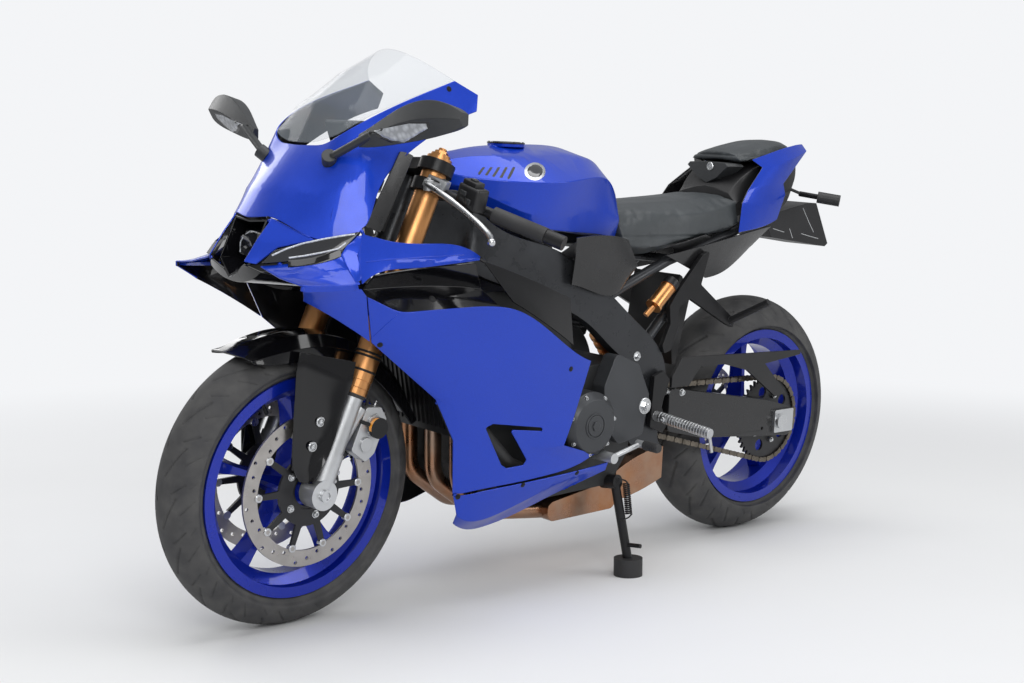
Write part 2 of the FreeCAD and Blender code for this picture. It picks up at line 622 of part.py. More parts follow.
def rounded_wire(points, corner):
    # A closed outline of straight runs with an arc at each point.
    count = len(points)
    arcs = []
    for index in range(count):
        arcs.append(corner_arc(points[index - 1], points[index], points[(index + 1) % count], corner))
    edges = []
    for index in range(count):
        first, middle, last = arcs[index]
        edges.append(Part.Arc(first, middle, last).toShape())
        edges.append(Part.LineSegment(last, arcs[(index + 1) % count][0]).toShape())
    return Part.Wire(edges)


def slab(shares, low, high, corner=0):
    # A plate with a side view outline, from one width to another.
    points = flat(shares, low)
    wire = rounded_wire(points, corner) if corner else closed_wire(points)
    return Part.Face(wire).extrude(Vector(0, high - low, 0))


def loft(sections, ruled=False):
    wires = [closed_wire(section) for section in sections]
    return Part.makeLoft(wires, True, ruled)


def hull(stations):
    # A body across the middle plane: each station is (x share, half outline of y and z shares).
    sections = []
    for x, half in stations:
        left = [at((x, y, z)) for y, z in half]
        right = [at((x, -y, z)) for y, z in reversed(half) if y > 0]
        sections.append(left + right)
    return loft(sections)


def beam(stations):
    # A bar on the left side: each station is (upper x z, lower x z, inner y, outer y) in shares.
    sections = []
    for upper, lower, inner, outer in stations:
        sections.append([
            at((upper[0], inner, upper[1])),
            at((upper[0], outer, upper[1])),
            at((lower[0], outer, lower[1])),
            at((lower[0], inner, lower[1])),
        ])
    return loft(sections)


def bent_rod(points, radius, bend):
    # A round bar along straight runs joined by arcs.
    edges = []
    start = points[0]
    for index in range(1, len(points) - 1):
        first, middle, last = corner_arc(points[index - 1], points[index], points[index + 1], bend)
        edges.append(Part.LineSegment(start, first).toShape())
        edges.append(Part.Arc(first, middle, last).toShape())
        start = last
    edges.append(Part.LineSegment(start, points[-1]).toShape())
    path = Part.Wire(edges)
    ring = Part.Wire(Part.makeCircle(radius, points[0], points[1] - points[0]))
    return path.makePipeShell([ring], True, False)


def point_normals(rows):
    # The mean normal of the sheet at each of its points.
    normals = []
    for i, row in enumerate(rows):
        line = []
        for j in range(len(row)):
            along = row[min(j + 1, len(row) - 1)] - row[max(j - 1, 0)]
            across_row = rows[min(i + 1, len(rows) - 1)][j] - rows[max(i - 1, 0)][j]
            line.append(along.cross(across_row).normalize())
        normals.append(line)
    return normals


def row_edge(points, smooth):
    if smooth and len(points) > 2:
        curve = Part.BSplineCurve()
        curve.interpolate(points)
        return [curve.toShape()]
    return [Part.LineSegment(a, b).toShape() for a, b in zip(points, points[1:])]


def sheet(rows, thickness, smooth=True, flip=False):
    # A panel of one thickness with a crease along each inner row of points.
    # The thickness lies behind the face that the rows draw.
    side = -1 if flip else 1
    normals = point_normals(rows)
    backs = []
    for row, line in zip(rows, normals):
        backs.append([p - n * (side * thickness) for p, n in zip(row, line)])
    front_edges = [row_edge(row, smooth) for row in rows]
    back_edges = [row_edge(row, smooth) for row in backs]
    faces = []
    for edges in (front_edges, back_edges):
        for upper, lower in zip(edges, edges[1:]):
            faces.extend(Part.makeRuledSurface(a, b) for a, b in zip(upper, lower))
    for index in (0, -1):
        faces.extend(Part.makeRuledSurface(a, b) for a, b in zip(front_edges[index], back_edges[index]))
    for end in (0, -1):
        for i in range(len(rows) - 1):
            front = Part.LineSegment(rows[i][end], rows[i + 1][end]).toShape()
            back = Part.LineSegment(backs[i][end], backs[i + 1][end]).toShape()
            faces.append(Part.makeRuledSurface(front, back))
    shell = Part.makeShell(faces)
    shell.sewShape()
    solid = Part.makeSolid(Part.Shell(shell.Faces))
    if solid.Volume < 0:
        solid.reverse()
    return solid


def panel_sheet(rows_shares, thickness=panel):
    return sheet([places(row) for row in rows_shares], thickness)


def across(half_rows):
    # Whole rows from left halves whose last point is on the middle plane.
    rows = []
    for half in half_rows:
        left = places(half)
        right = [Vector(p.x, -p.y, p.z) for p in reversed(left[:-1])]
        rows.append(left + right)
    return rows


# Steering geometry
rake = math.radians(rake_angle)
up_steer = Vector(-math.sin(rake), 0, math.cos(rake))
ahead_steer = Vector(math.cos(rake), 0, math.sin(rake))
front_axle = Vector(wheelbase, 0, front_tyre_radius)
rear_axle = Vector(0, 0, rear_tyre_radius)
steer_foot = front_axle - ahead_steer * fork_offset


def steer(height, ahead=0.0, left=0.0):
    # A place in the fork's own frame, measured up the steering axis from the front axle.
    return steer_foot + up_steer * height + ahead_steer * ahead + Vector(0, left, 0)


def on_fork(height, ahead=0.0, left=0.0):
    return steer(height, fork_offset + ahead, fork_half_spacing + left)


# Wheels
def revolved(profile, axle):
    points = [axle + Vector(0, y, radius) for y, radius in profile]
    face = Part.Face(closed_wire(points))
    return face.revolve(axle, Vector(0, 1, 0), 360)


def tyre(axle, radius, width, rim_width):
    shoulder = radius - width * tyre_shoulder_share
    edge_turn = math.pi / 2 * tyre_crown_share
    crown = []
    for share in tread_steps_share:
        turn = share * edge_turn
        y = width / 2 * math.sin(turn) / math.sin(edge_turn)
        rise = (math.cos(turn) - math.cos(edge_turn)) / (1 - math.cos(edge_turn))
        crown.append((y, shoulder + (radius - shoulder) * rise))
    bead = rim_width / 2 - rim_wall - seam / 2
    foot = rim_seat_radius + seam / 4
    left = crown + [(bead, foot + rim_lip)]
    inner = [(bead, foot), (-bead, foot)]
    right = [(-y, z) for y, z in reversed(left[1:])]
    return revolved(left + inner + right, axle)


def spoke(axle, turn, rim_radius):
    # One spoke, narrow at its waist and wide at the rim.
    spans = (
        (hub_radius * spoke_root_share, spoke_root_width, spoke_root_depth),
        ((hub_radius + rim_radius) / 2, spoke_waist_width, (spoke_root_depth + spoke_tip_depth) / 2),
        (rim_radius + rim_wall / 2 - rim_drop, spoke_tip_width, spoke_tip_depth),
    )
    sections = []
    for radius, width, depth in spans:
        sections.append([
            axle + Vector(-width / 2, -depth / 2, radius),
            axle + Vector(-width / 4, depth / 2, radius),
            axle + Vector(width / 4, depth / 2, radius),
            axle + Vector(width / 2, -depth / 2, radius),
        ])
    shape = loft(sections)
    shape.rotate(axle, Vector(0, 1, 0), turn)
    return shape


def rim(axle, rim_width, hub_width, bore):
    half = rim_width / 2
    lip = rim_seat_radius + rim_lip
    outer = [(half, lip), (half - rim_wall, lip), (half - rim_wall, rim_seat_radius)]
    outer += [(half * y, rim_seat_radius - rim_drop * z) for y, z in rim_outer_shares]
    inner = [(half * y, rim_seat_radius - rim_wall - rim_drop * z) for y, z in rim_inner_shares]
    inner.append((half, rim_seat_radius - rim_wall))
    profile = outer + [(-y, z) for y, z in reversed(outer)]
    profile += [(-y, z) for y, z in reversed(inner)] + inner
    barrel = revolved(profile, axle)
    hub = cross_rod(axle, -hub_width / 2, hub_width / 2, hub_radius)
    spokes = [spoke(axle, 360 * i / spoke_count, rim_seat_radius) for i in range(spoke_count)]
    whole = joined([barrel, hub] + spokes)
    return whole.cut(cross_rod(axle, -hub_width, hub_width, bore))


def around(axle, radius, share):
    # A place on a circle about an axle, by its share of a full turn.
    turn = 2 * math.pi * share
    return axle + Vector(radius * math.cos(turn), 0, radius * math.sin(turn))


def disc_ring(axle, plane, radius, inner_radius):
    # The ring that the pads grip, with its drilled holes.
    low = plane - disc_thickness / 2
    high = plane + disc_thickness / 2
    ring = cross_rod(axle, low, high, radius).cut(cross_rod(axle, low, high, inner_radius))
    holes = []
    for index in range(bobbin_count):
        for turn_share, band_share in disc_hole_shares:
            pitch = inner_radius + (radius - inner_radius) * band_share
            centre = around(axle, pitch, (index + turn_share) / bobbin_count)
            holes.append(cross_rod(centre, low, high, disc_hole_radius))
    return ring.cut(Part.makeCompound(holes))


def disc_set(axle, plane, radius, inner_radius, carrier, inboard):
    # A floating disc: the ring, its carrier with arms and the bobbins between them.
    low = plane - carrier_thickness / 2
    high = plane + carrier_thickness / 2
    pitch = (inner_radius + carrier) / 2
    root_share, tip_share = carrier_arm_shares
    bell = cross_rod(axle, low, high, carrier * carrier_bell_share)
    bell = bell.cut(cross_rod(axle, low, high, carrier_inner_radius))
    pieces = [disc_ring(axle, plane, radius, inner_radius), bell]
    for index in range(bobbin_count):
        place_share = index / bobbin_count
        arm_start = around(axle, carrier * root_share, place_share)
        arm_end = around(axle, pitch, place_share)
        out = (arm_end - arm_start).normalize()
        side = Vector(-out.z, 0, out.x) * (carrier_arm_width / 2)
        corners = [arm_start - side, arm_start + side, arm_end + side * tip_share, arm_end - side * tip_share]
        corners = [corner + Vector(0, low, 0) for corner in corners]
        pieces.append(Part.Face(closed_wire(corners)).extrude(Vector(0, high - low, 0)))
        pieces.append(cross_rod(arm_end, plane - bobbin_length / 2, plane + bobbin_length / 2, bobbin_radius))
    mount = cross_rod(axle, inboard, plane, carrier_inner_radius + carrier_thickness)
    mount = mount.cut(cross_rod(axle, inboard, plane, carrier_inner_radius - carrier_thickness))
    pieces.append(mount)
    return joined(pieces)


def pitch_radius(teeth):
    return chain_pitch / 2 / math.sin(math.pi / teeth)


def toothed_disc(axle, plane, teeth, thickness):
    # A sprocket with straight sided teeth.
    root_share, tip_share = sprocket_depth_shares
    root = pitch_radius(teeth) - chain_half_height * root_share
    tip = pitch_radius(teeth) + chain_half_height * tip_share
    points = []
    for tooth in range(teeth):
        for turn_share, height_share in sprocket_tooth_shares:
            size = root + (tip - root) * height_share
            corner = around(axle, size, (tooth + turn_share) / teeth)
            points.append(corner + Vector(0, plane - thickness / 2, 0))
    return Part.Face(closed_wire(points)).extrude(Vector(0, thickness, 0))


def rear_sprocket():
    gear = toothed_disc(rear_axle, chain_plane, rear_teeth, sprocket_thickness)
    gear = gear.cut(cross_rod(rear_axle, 0, chain_plane * 2, sprocket_bore))
    for index in range(spoke_count):
        centre = around(rear_axle, sprocket_window_pitch, index / spoke_count)
        gear = gear.cut(cross_rod(centre, 0, chain_plane * 2, sprocket_window_radius))
    inner_face = chain_plane - sprocket_thickness / 2
    carrier = cross_rod(rear_axle, rear_hub_width / 2, inner_face, sprocket_bore + carrier_arm_width)
    carrier = carrier.cut(cross_rod(rear_axle, 0, chain_plane, rear_axle_radius + seam / 2))
    return joined([gear, carrier])


def make_wheels():
    left_disc = disc_set(
        front_axle, disc_plane, disc_radius, disc_inner_radius, carrier_radius, front_hub_width / 2)
    rear_set = disc_set(
        rear_axle, rear_disc_plane, rear_disc_radius, rear_disc_inner_radius, rear_carrier_radius,
        -rear_hub_width / 2)
    return {
        "front_tyre": tyre(front_axle, front_tyre_radius, front_tyre_width, front_rim_width),
        "rear_tyre": tyre(rear_axle, rear_tyre_radius, rear_tyre_width, rear_rim_width),
        "front_rim": rim(front_axle, front_rim_width, front_hub_width, front_axle_radius + seam / 2),
        "rear_rim": rim(rear_axle, rear_rim_width, rear_hub_width, rear_axle_radius + seam / 2),
        "front_discs": both(left_disc),
        "rear_disc": rear_set,
        "rear_sprocket": rear_sprocket(),
    }


# Chain
def chain_loop(low, high, inner_offset, outer_offset):
    # A closed band that wraps both sprockets between two offsets from the pitch line.
    front = at(front_sprocket_shares)
    span = front - rear_axle
    lie = math.atan2(span.z, span.x)
    open_turn = math.acos((pitch_radius(rear_teeth) - pitch_radius(front_teeth)) / span.Length)

    def ring(centre, radius, turn):
        return centre + Vector(radius * math.cos(turn), low, radius * math.sin(turn))

    def belt(offset):
        rear = pitch_radius(rear_teeth) + offset
        fore = pitch_radius(front_teeth) + offset
        upper = lie + open_turn
        lower = lie - open_turn
        tops = [ring(rear_axle, rear, upper), ring(front, fore, upper)]
        lows = [ring(front, fore, lower), ring(rear_axle, rear, lower)]
        edges = [
            Part.LineSegment(tops[0], tops[1]).toShape(),
            Part.Arc(tops[1], ring(front, fore, lie), lows[0]).toShape(),
            Part.LineSegment(lows[0], lows[1]).toShape(),
            Part.Arc(lows[1], ring(rear_axle, rear, lie + math.pi), tops[0]).toShape(),
        ]
        return Part.Face(Part.Wire(edges)).extrude(Vector(0, high - low, 0))

    return belt(outer_offset).cut(belt(inner_offset))


def make_chain():
    low = chain_plane - chain_width / 2
    high = chain_plane + chain_width / 2
    core_height = chain_half_height * chain_core_share
    outer = chain_loop(high - chain_plate, high, -chain_half_height, chain_half_height)
    inner = chain_loop(low, low + chain_plate, -chain_half_height, chain_half_height)
    core = chain_loop(low, high, -core_height, core_height)
    core = core.cut(cross_rod(rear_axle, 0, overrun, rear_core_room))
    return {"chain": joined([outer, inner, core])}


# Fork and steering
def clamp(low, thickness):
    # A yoke across both legs and the steering stem.
    leg = outer_tube_radius + clamp_wall
    back_share, side_share = clamp_stem_shares
    leg_share, front_share = clamp_leg_shares
    legs = [rod(on_fork(low), on_fork(low + thickness), leg)]
    legs.append(mirrored(legs[0]))
    centre = rod(steer(low), steer(low + thickness), head_tube_radius)
    stem_back = -head_tube_radius * back_share
    stem_side = head_tube_radius * side_share
    bridge_points = [
        steer(low, stem_back, stem_side),
        steer(low, fork_offset - leg * leg_share, fork_half_spacing),
        steer(low, fork_offset + leg * leg_share, fork_half_spacing),
        steer(low, fork_offset + leg * front_share, 0),
        steer(low, fork_offset + leg * leg_share, -fork_half_spacing),
        steer(low, fork_offset - leg * leg_share, -fork_half_spacing),
        steer(low, stem_back, -stem_side),
    ]
    bridge = Part.Face(closed_wire(bridge_points)).extrude(up_steer * thickness)
    whole = joined(legs + [centre, bridge])
    bore = rod(on_fork(low), on_fork(low + thickness), outer_tube_radius)
    return whole.cut(both(bore))


def caliper_place(along_share, back_share, width):
    # A place on the caliper from shares of its half length and half depth.
    middle = on_fork(caliper_height, -caliper_setback, width - fork_half_spacing)
    along = up_steer * (caliper_length / 2 * along_share)
    return middle + along + ahead_steer * (caliper_depth / 2 * back_share)


def front_caliper():
    # A block behind the leg that straddles the disc, with its piston caps and bolts.
    low = disc_plane - caliper_half_width
    high = disc_plane + caliper_half_width
    corners = [caliper_place(a, b, low) for a, b in caliper_outline_shares]
    block = Part.Face(rounded_wire(corners, caliper_corner)).extrude(Vector(0, high - low, 0))
    pieces = [block]
    for share in caliper_piston_shares:
        start = caliper_place(share, 0, high)
        pieces.append(rod(start, start + Vector(0, caliper_piston_height, 0), caliper_piston_radius))
    whole = joined(pieces)
    slot_low = disc_plane - caliper_slot / 2
    slot_high = disc_plane + caliper_slot / 2
    whole = whole.cut(cross_rod(front_axle, slot_low, slot_high, disc_radius + running_gap))
    return whole.cut(cross_rod(front_axle, -overrun, front_rim_width / 2 + running_gap, overrun))


def turned_back(place):
    # A place measured with the steering turned, brought back to straight ahead.
    mark = Part.Vertex(place)
    mark.rotate(steer_foot, up_steer, -steer_angle)
    return mark.Point


def bar_line():
    # The start and end of the left bar, with the wheel straight ahead.
    return on_fork(bar_height), turned_back(at(bar_end_shares))


def make_bars():
    start, end = bar_line()
    way = (end - start).normalize()
    ring_low = on_fork(bar_height - clamp_thickness / 2)
    ring_high = on_fork(bar_height + clamp_thickness / 2)
    ring = rod(ring_low, ring_high, outer_tube_radius + clamp_wall)
    bar = rod(start + way * outer_tube_radius, end, bar_radius)
    weight = rod(end, end + way * bar_weight_length, bar_weight_radius)
    clip = joined([ring, bar, weight])
    clip = clip.cut(rod(on_fork(0), on_fork(fork_top_height), outer_tube_radius))
    grip = hollow_rod(end - way * grip_length, end - way * seam, grip_radius, bar_radius)
    return clip, grip


def make_controls():
    # The left switch block, perch and lever, and where the lever turns.
    start, end = bar_line()
    way = (end - start).normalize()
    pivot_reach, pivot_share, neck_share, knee_share = lever_shares
    perch_start = end - way * (grip_length + seam + perch_length + switch_length)
    perch_end = perch_start + way * perch_length
    perch = hollow_rod(perch_start, perch_end, perch_radius, bar_radius)
    switch = hollow_rod(perch_end, perch_end + way * switch_length, switch_radius, bar_radius)
    pivot = perch_start + ahead_steer * (lever_reach * pivot_reach) + way * (perch_length * pivot_share)
    neck_start = perch_start + way * (perch_length * neck_share) + ahead_steer * master_radius
    neck = rod(neck_start, pivot, master_radius)
    tip = end + ahead_steer * lever_reach - up_steer * lever_drop - way * lever_ball
    knee = pivot + way * perch_length + ahead_steer * (lever_reach * knee_share)
    heel = pivot - (knee - pivot).normalize() * master_radius
    lever = bent_rod([heel, knee, tip], lever_radius, lever_reach)
    ball = Part.makeSphere(lever_ball, tip)
    return joined([perch, switch, neck, lever, ball]), pivot


def brake_reservoir(pivot):
    foot = Vector(pivot.x, -pivot.y, pivot.z) + up_steer * (master_radius / 2)
    cup_foot = foot + up_steer * master_radius
    cup = rod(cup_foot, cup_foot + up_steer * reservoir_height, reservoir_radius)
    stay = rod(foot, cup_foot + up_steer * seam, reservoir_stay_radius)
    return joined([cup, stay])


def make_fender():
    # An arch over the front tyre with creased shoulders.
    rows = []
    for side, drop in fender_section_shares:
        row = []
        for step in range(fender_steps + 1):
            sweep = (fender_end_angle - fender_start_angle) * step / fender_steps
            angle = math.radians(fender_start_angle + sweep)
            radius = fender_radius - fender_skirt * drop * fender_taper_shares[step]
            width = fender_half_width * side
            row.append(front_axle + Vector(radius * math.cos(angle), width, radius * math.sin(angle)))
        rows.append(row)
    return sheet(rows, panel, True, True)


def fork_foot():
    # The polished inner tube with the axle casting and its lug for the caliper.
    eye_share = foot_eye_share
    root_share, lug_start_share, lug_up_share, lug_back_share, lug_share = foot_shares
    lower = rod(on_fork(inner_tube_low_height), on_fork(outer_tube_low_height), inner_tube_radius)
    low = fork_half_spacing - foot_width / 2
    high = fork_half_spacing + foot_width / 2
    eye = cross_rod(front_axle, low, high, foot_radius * eye_share)
    leg_root = rod(on_fork(0), on_fork(fork_foot_height), foot_radius * root_share)
    lug_end = on_fork(caliper_height + caliper_length * lug_up_share, -caliper_setback * lug_back_share)
    lug = rod(on_fork(fork_foot_height * lug_start_share), lug_end, foot_radius * lug_share)
    clear = cross_rod(front_axle, -overrun, disc_plane + caliper_slot / 2, disc_radius + running_gap)
    foot = joined([eye, leg_root, lug, lower]).cut(clear)
    return foot.cut(cross_rod(front_axle, 0, overrun, front_axle_radius))


def brake_hose():
    points = []
    for height, ahead, left in hose_shares:
        points.append(on_fork(fork_top_height * height, outer_tube_radius * ahead, outer_tube_radius * left))
    return bent_rod(points, hose_radius, outer_tube_radius * 2)


def reflector():
    # A round reflector on a thin stalk behind the leg.
    face = on_fork(reflector_height, -reflector_setback, reflector_stand)
    disc = rod(face - Vector(0, reflector_thickness, 0), face, reflector_radius)
    stalk_end = face - Vector(0, reflector_thickness / 2, 0)
    stalk = rod(on_fork(reflector_height), stalk_end, reflector_stalk_radius)
    return joined([disc, stalk])


def make_fork():
    gold = rod(on_fork(outer_tube_low_height), on_fork(fork_top_height), outer_tube_radius)
    cap = rod(on_fork(fork_top_height), on_fork(fork_top_height + fork_cap_height), fork_cap_radius)
    upper = clamp(upper_clamp_height, clamp_thickness)
    lower_yoke = clamp(lower_clamp_height, clamp_thickness)
    stem_top = upper_clamp_height + clamp_thickness + stem_nut_height
    stem = rod(steer(lower_clamp_height), steer(stem_top), stem_radius)
    clip, grip = make_bars()
    controls, pivot = make_controls()
    right_controls = joined([mirrored(controls), brake_reservoir(pivot)])
    left_end = front_axle + Vector(0, front_axle_half_length, 0)
    axle = hollow_rod(mirrored_place(left_end), left_end, front_axle_radius, front_axle_bore)
    spacer = cross_rod(
        front_axle, front_hub_width / 2 + seam, fork_half_spacing - foot_width / 2, axle_spacer_radius)
    spacer = spacer.cut(cross_rod(front_axle, 0, overrun, front_axle_radius))
    guard = slab(guard_shares, guard_inner, guard_outer)
    return {
        "fork_outer_tubes": both(joined([gold, cap])),
        "fork_lowers": both(fork_foot()),
        "fork_clamps": joined([upper, lower_yoke, stem]),
        "clip_on_bars": both(clip),
        "grips": both(grip),
        "controls": Part.makeCompound([controls, right_controls]),
        "front_axle": joined([axle, spacer, mirrored(spacer)]),
        "front_calipers": both(front_caliper()),
        "brake_hoses": both(brake_hose()),
        "reflectors": both(reflector()),
        "front_fender": joined([make_fender(), guard, mirrored(guard)]),
    }


def mirrored_place(place):
    return Vector(place.x, -place.y, place.z)


# Frame and rear suspension
def make_frame():
    spar = beam(spar_shares)
    pivot = at(pivot_shares)
    hole = cross_rod(pivot, 0, overrun, pivot_radius)
    spar = spar.cut(hole)
    stem_room = rod(steer(head_tube_low_height), steer(head_tube_top_height), stem_radius + stem_gap)
    head = rod(steer(head_tube_low_height), steer(head_tube_top_height), head_tube_radius)
    mount_half = arm_inner + arm_thickness / 2
    shock_mount = cross_rod(at(shock_mount_shares), -mount_half, mount_half, shock_mount_radius)
    body = joined([head, spar, mirrored(spar), shock_mount]).cut(stem_room)
    rail = bent_rod(places(seat_rail_shares), rail_radius, rail_bend)
    stay = bent_rod(places(seat_stay_shares), rail_radius, rail_bend)
    pieces = [rail, mirrored(rail), stay, mirrored(stay)]
    for share, width in zip(subframe_cross_shares, subframe_cross_widths):
        pieces.append(cross_rod(at(share), -width, width, cross_tube_radius))
    return {
        "frame": body,
        "seat_subframe": joined(pieces).cut(body),
    }


def make_swingarm():
    high = arm_inner + arm_thickness
    left = slab(arm_shares, arm_inner, high, arm_corner)
    cross_half = arm_inner + arm_thickness / 2
    cross = slab(cross_member_shares, -cross_half, cross_half, arm_corner)
    pivot = at(pivot_shares)
    barrel = cross_rod(pivot, -arm_inner, arm_inner, arm_pivot_radius)
    neck = slab(neck_shares, neck_inner, neck_outer)
    whole = joined([left, mirrored(left), cross, neck, mirrored(neck), barrel])
    whole = whole.cut(cross_rod(pivot, -overrun, overrun, pivot_radius))
    whole = whole.cut(cross_rod(rear_axle, -overrun, overrun, rear_axle_radius))
    bore = cross_rod(at(spool_shares), high - spool_depth, overrun, spool_bore)
    return {"swingarm": whole.cut(both(bore))}


def make_shafts():
    # The swingarm's pivot shaft, and the rear axle with its nuts, spacers and adjusters.
    shaft = cross_rod(at(pivot_shares), -pivot_half_width, pivot_half_width, pivot_radius)
    high = arm_inner + arm_thickness
    axle = cross_rod(rear_axle, -axle_half_length, axle_half_length, rear_axle_radius)
    block = slab(adjuster_shares, high, high + adjuster_thickness, adjuster_corner)
    nut = cross_rod(rear_axle, high + adjuster_thickness, axle_half_length, axle_nut_radius)
    spacer = cross_rod(rear_axle, chain_plane + sprocket_thickness / 2 + seam, arm_inner, axle_nut_radius)
    disc_face = rear_disc_plane - carrier_thickness / 2 - seam
    other = cross_rod(rear_axle, -arm_inner, disc_face, axle_nut_radius)
    axle_set = joined([axle, block, mirrored(block), nut, mirrored(nut), spacer, other])
    return {"chassis_shafts": Part.makeCompound([shaft, axle_set])}


def make_shock():
    # The damper with its spring, and the gas reservoir beside it.
    top, foot = places(shock_shares)
    way = (foot - top).normalize()
    length = (foot - top).Length
    body = rod(top, top + way * (length * shock_body_share), shock_body_radius)
    pieces = [rod(top, foot, shock_rod_radius), body]
    first_share, last_share = spring_shares
    for index in range(spring_turns):
        share = first_share + (last_share - first_share) * index / (spring_turns - 1)
        centre = top + way * (length * share)
        pieces.append(rod(centre - way * spring_wire, centre + way * spring_wire, spring_radius))
    low, high, end = places(reservoir_shares)
    along = (high - low).normalize()
    gas = joined([
        rod(low, high, shock_reservoir_radius),
        rod(high, end, reservoir_cap_radius),
        rod(low, low + along * reservoir_flange, reservoir_cap_radius),
        rod(*places(reservoir_foot_shares), reservoir_foot_radius),
    ])
    return {"shock_absorber": Part.makeCompound([joined(pieces), gas])}


def make_rear_brake():
    low = rear_disc_plane - rear_caliper_reach
    high = rear_disc_plane + rear_caliper_reach
    block = slab(rear_caliper_shares, low, high, rear_caliper_corner)
    slot_low = rear_disc_plane - rear_caliper_slot
    slot_high = rear_disc_plane + rear_caliper_slot
    block = block.cut(cross_rod(rear_axle, slot_low, slot_high, rear_disc_radius + running_gap))
    bracket = slab(rear_bracket_shares, rear_bracket_planes[0], rear_bracket_planes[1])
    return {"rear_caliper": joined([block, bracket])}


def make_chain_guard():
    low = guard_plane
    high = guard_plane + chain_guard_width
    return {"chain_guard": slab(chain_guard_shares, low, high)}


# Engine, exhaust and cooling
def domed_cover(centre, low, high, radius):
    body = cross_rod(centre, low, high, radius)
    rims = [edge for edge in body.Edges if abs(edge.CenterOfMass.y - high) < seam and edge.Length > radius]
    return body.makeChamfer(cover_chamfer, rims[:1])


def engine_head():
    return slab(cylinder_shares, -cylinder_half_width, cylinder_half_width, cover_chamfer)


def make_engine():
    case = slab(crankcase_shares, -engine_half_width, engine_half_width, cover_chamfer)
    slot = slab(chain_room_shares, chain_plane - chain_width, chain_plane + chain_width)
    block = joined([case, engine_head()]).cut(slot)
    left_centre = at(left_cover_shares)
    left = domed_cover(left_centre, engine_half_width, left_cover_face, left_cover_radius)
    cap = cross_rod(left_centre, left_cover_face, left_cover_face + left_cap_height, left_cap_radius)
    clutch = domed_cover(at(clutch_cover_shares), engine_half_width, clutch_cover_face, clutch_cover_radius)
    small = domed_cover(at(small_cover_shares), engine_half_width, left_cover_face, small_cover_radius)
    cover = slab(sprocket_cover_shares, engine_half_width, sprocket_cover_face, cover_chamfer)
    cover = cover.cut(cross_rod(left_centre, 0, overrun, left_cover_radius + seam / 2))
    return {
        "engine_block": block,
        "engine_covers": Part.makeCompound([joined([left, cap]), mirrored(joined([clutch, small])), cover]),
    }


def make_exhaust():
    pipes = []
    for index in (-1, 0, 1):
        wide = Vector(0, index * header_spacing, 0)
        narrow = wide * header_squeeze_share
        points = [p + wide for p in places(header_shares[:header_run_count])]
        points += [p + narrow for p in places(header_shares[header_run_count:])]
        pipes.append(bent_rod(points, header_radius, header_bend))
    box = slab(collector_shares, -collector_half_width, collector_half_width, collector_corner)
    sections = []
    for x, right, left, low, high in muffler_sections_shares:
        sections.append([at((x, right, low)), at((x, left, low)), at((x, left, high)), at((x, right, high))])
    can = loft(sections)
    start, end = places(tail_pipe_shares)
    outlet = hollow_rod(start, end, tail_pipe_radius, tail_pipe_bore)
    return {
        "exhaust_headers": joined(pipes).cut(box).cut(engine_head()),
        "muffler": joined([box, can, outlet]),
    }


def make_radiator():
    # The core with upright fins on its front, between two end tanks.
    core = slab(radiator_shares, -radiator_half_width, radiator_half_width)
    pieces = [core]
    top, foot = fin_run_shares
    for index in range(fin_count):
        width = radiator_core_half_width * (2 * index / (fin_count - 1) - 1)
        run = (at((top[0], 0, top[1])), at((foot[0], 0, foot[1])))
        ahead = (run[0] - run[1]).cross(Vector(0, 1, 0)).normalize() * -fin_height
        side = Vector(0, width - fin_thickness / 2, 0)
        corners = [run[0] + side + ahead, run[1] + side + ahead, run[1] + side - ahead, run[0] + side - ahead]
        pieces.append(Part.Face(closed_wire(corners)).extrude(Vector(0, fin_thickness, 0)))
    start, end = places(radiator_stay_shares)
    stay = rod(start, end, radiator_stay_radius)
    hose = bent_rod(places(coolant_hose_shares), coolant_hose_radius, coolant_hose_bend)
    return {"radiator": joined(pieces + [stay, mirrored(stay)]).cut(hose), "coolant_hose": hose}


# Tank, seats and tail
def make_body():
    tank = hull(tank_shares)
    cap = rod(at(cap_shares), at(cap_shares) + Vector(0, 0, cap_height), cap_radius)
    stem = rod(*places(indicator_shares), indicator_stem_radius)
    lamp = rod(*places(indicator_lamp_shares), indicator_lamp_radius)
    indicators = joined([stem, lamp])
    tail_lamp = slab(tail_lamp_shares, -tail_lamp_half_width, tail_lamp_half_width)
    covers = [panel_sheet(under_cover_rows_shares), panel_sheet(tank_cover_rows_shares)]
    side_covers = Part.makeCompound(covers)
    return {
        "tank": joined([tank, cap]),
        "rider_seat": hull(rider_seat_shares).cut(tank),
        "pillion_seat": hull(pillion_seat_shares),
        "lock_cover": hull(lock_cover_shares),
        "tail_core": hull(tail_core_shares),
        "tail_cowls": both(panel_sheet(tail_rows_shares)),
        "side_covers": both(side_covers),
        "rear_inner_fender": slab(rear_fender_shares, -rear_fender_half_width, rear_fender_half_width),
        "plate_holder": slab(plate_shares, -plate_half_width, plate_half_width),
        "rear_lamps": Part.makeCompound([indicators, mirrored(indicators), tail_lamp]),
    }


# Fairing
def make_mask():
    # The tunnel behind the intake with its back wall, cut off along the nose.
    face = slab(mask_face_shares, -overrun, overrun)
    return hull(mask_shares).cut(hull(mask_inner_shares)).cut(face)


def make_front_lamps():
    # The lamp in the intake with its lens, and the two lamps beside the nose.
    housing = slab(headlamp_shares, -headlamp_half_width, headlamp_half_width, headlamp_corner)
    way = Vector(*lens_way_shares).normalize()
    start = at(lens_shares)
    lens = rod(start, start + way * lens_length, lens_radius)
    side = panel_sheet(position_rows_shares, lens_thickness)
    return Part.makeCompound([joined([housing, lens]), side, mirrored(side)])


def make_dash():
    screen = slab(dash_shares, -dash_half_width, dash_half_width, dash_corner)
    return {"dash": screen}


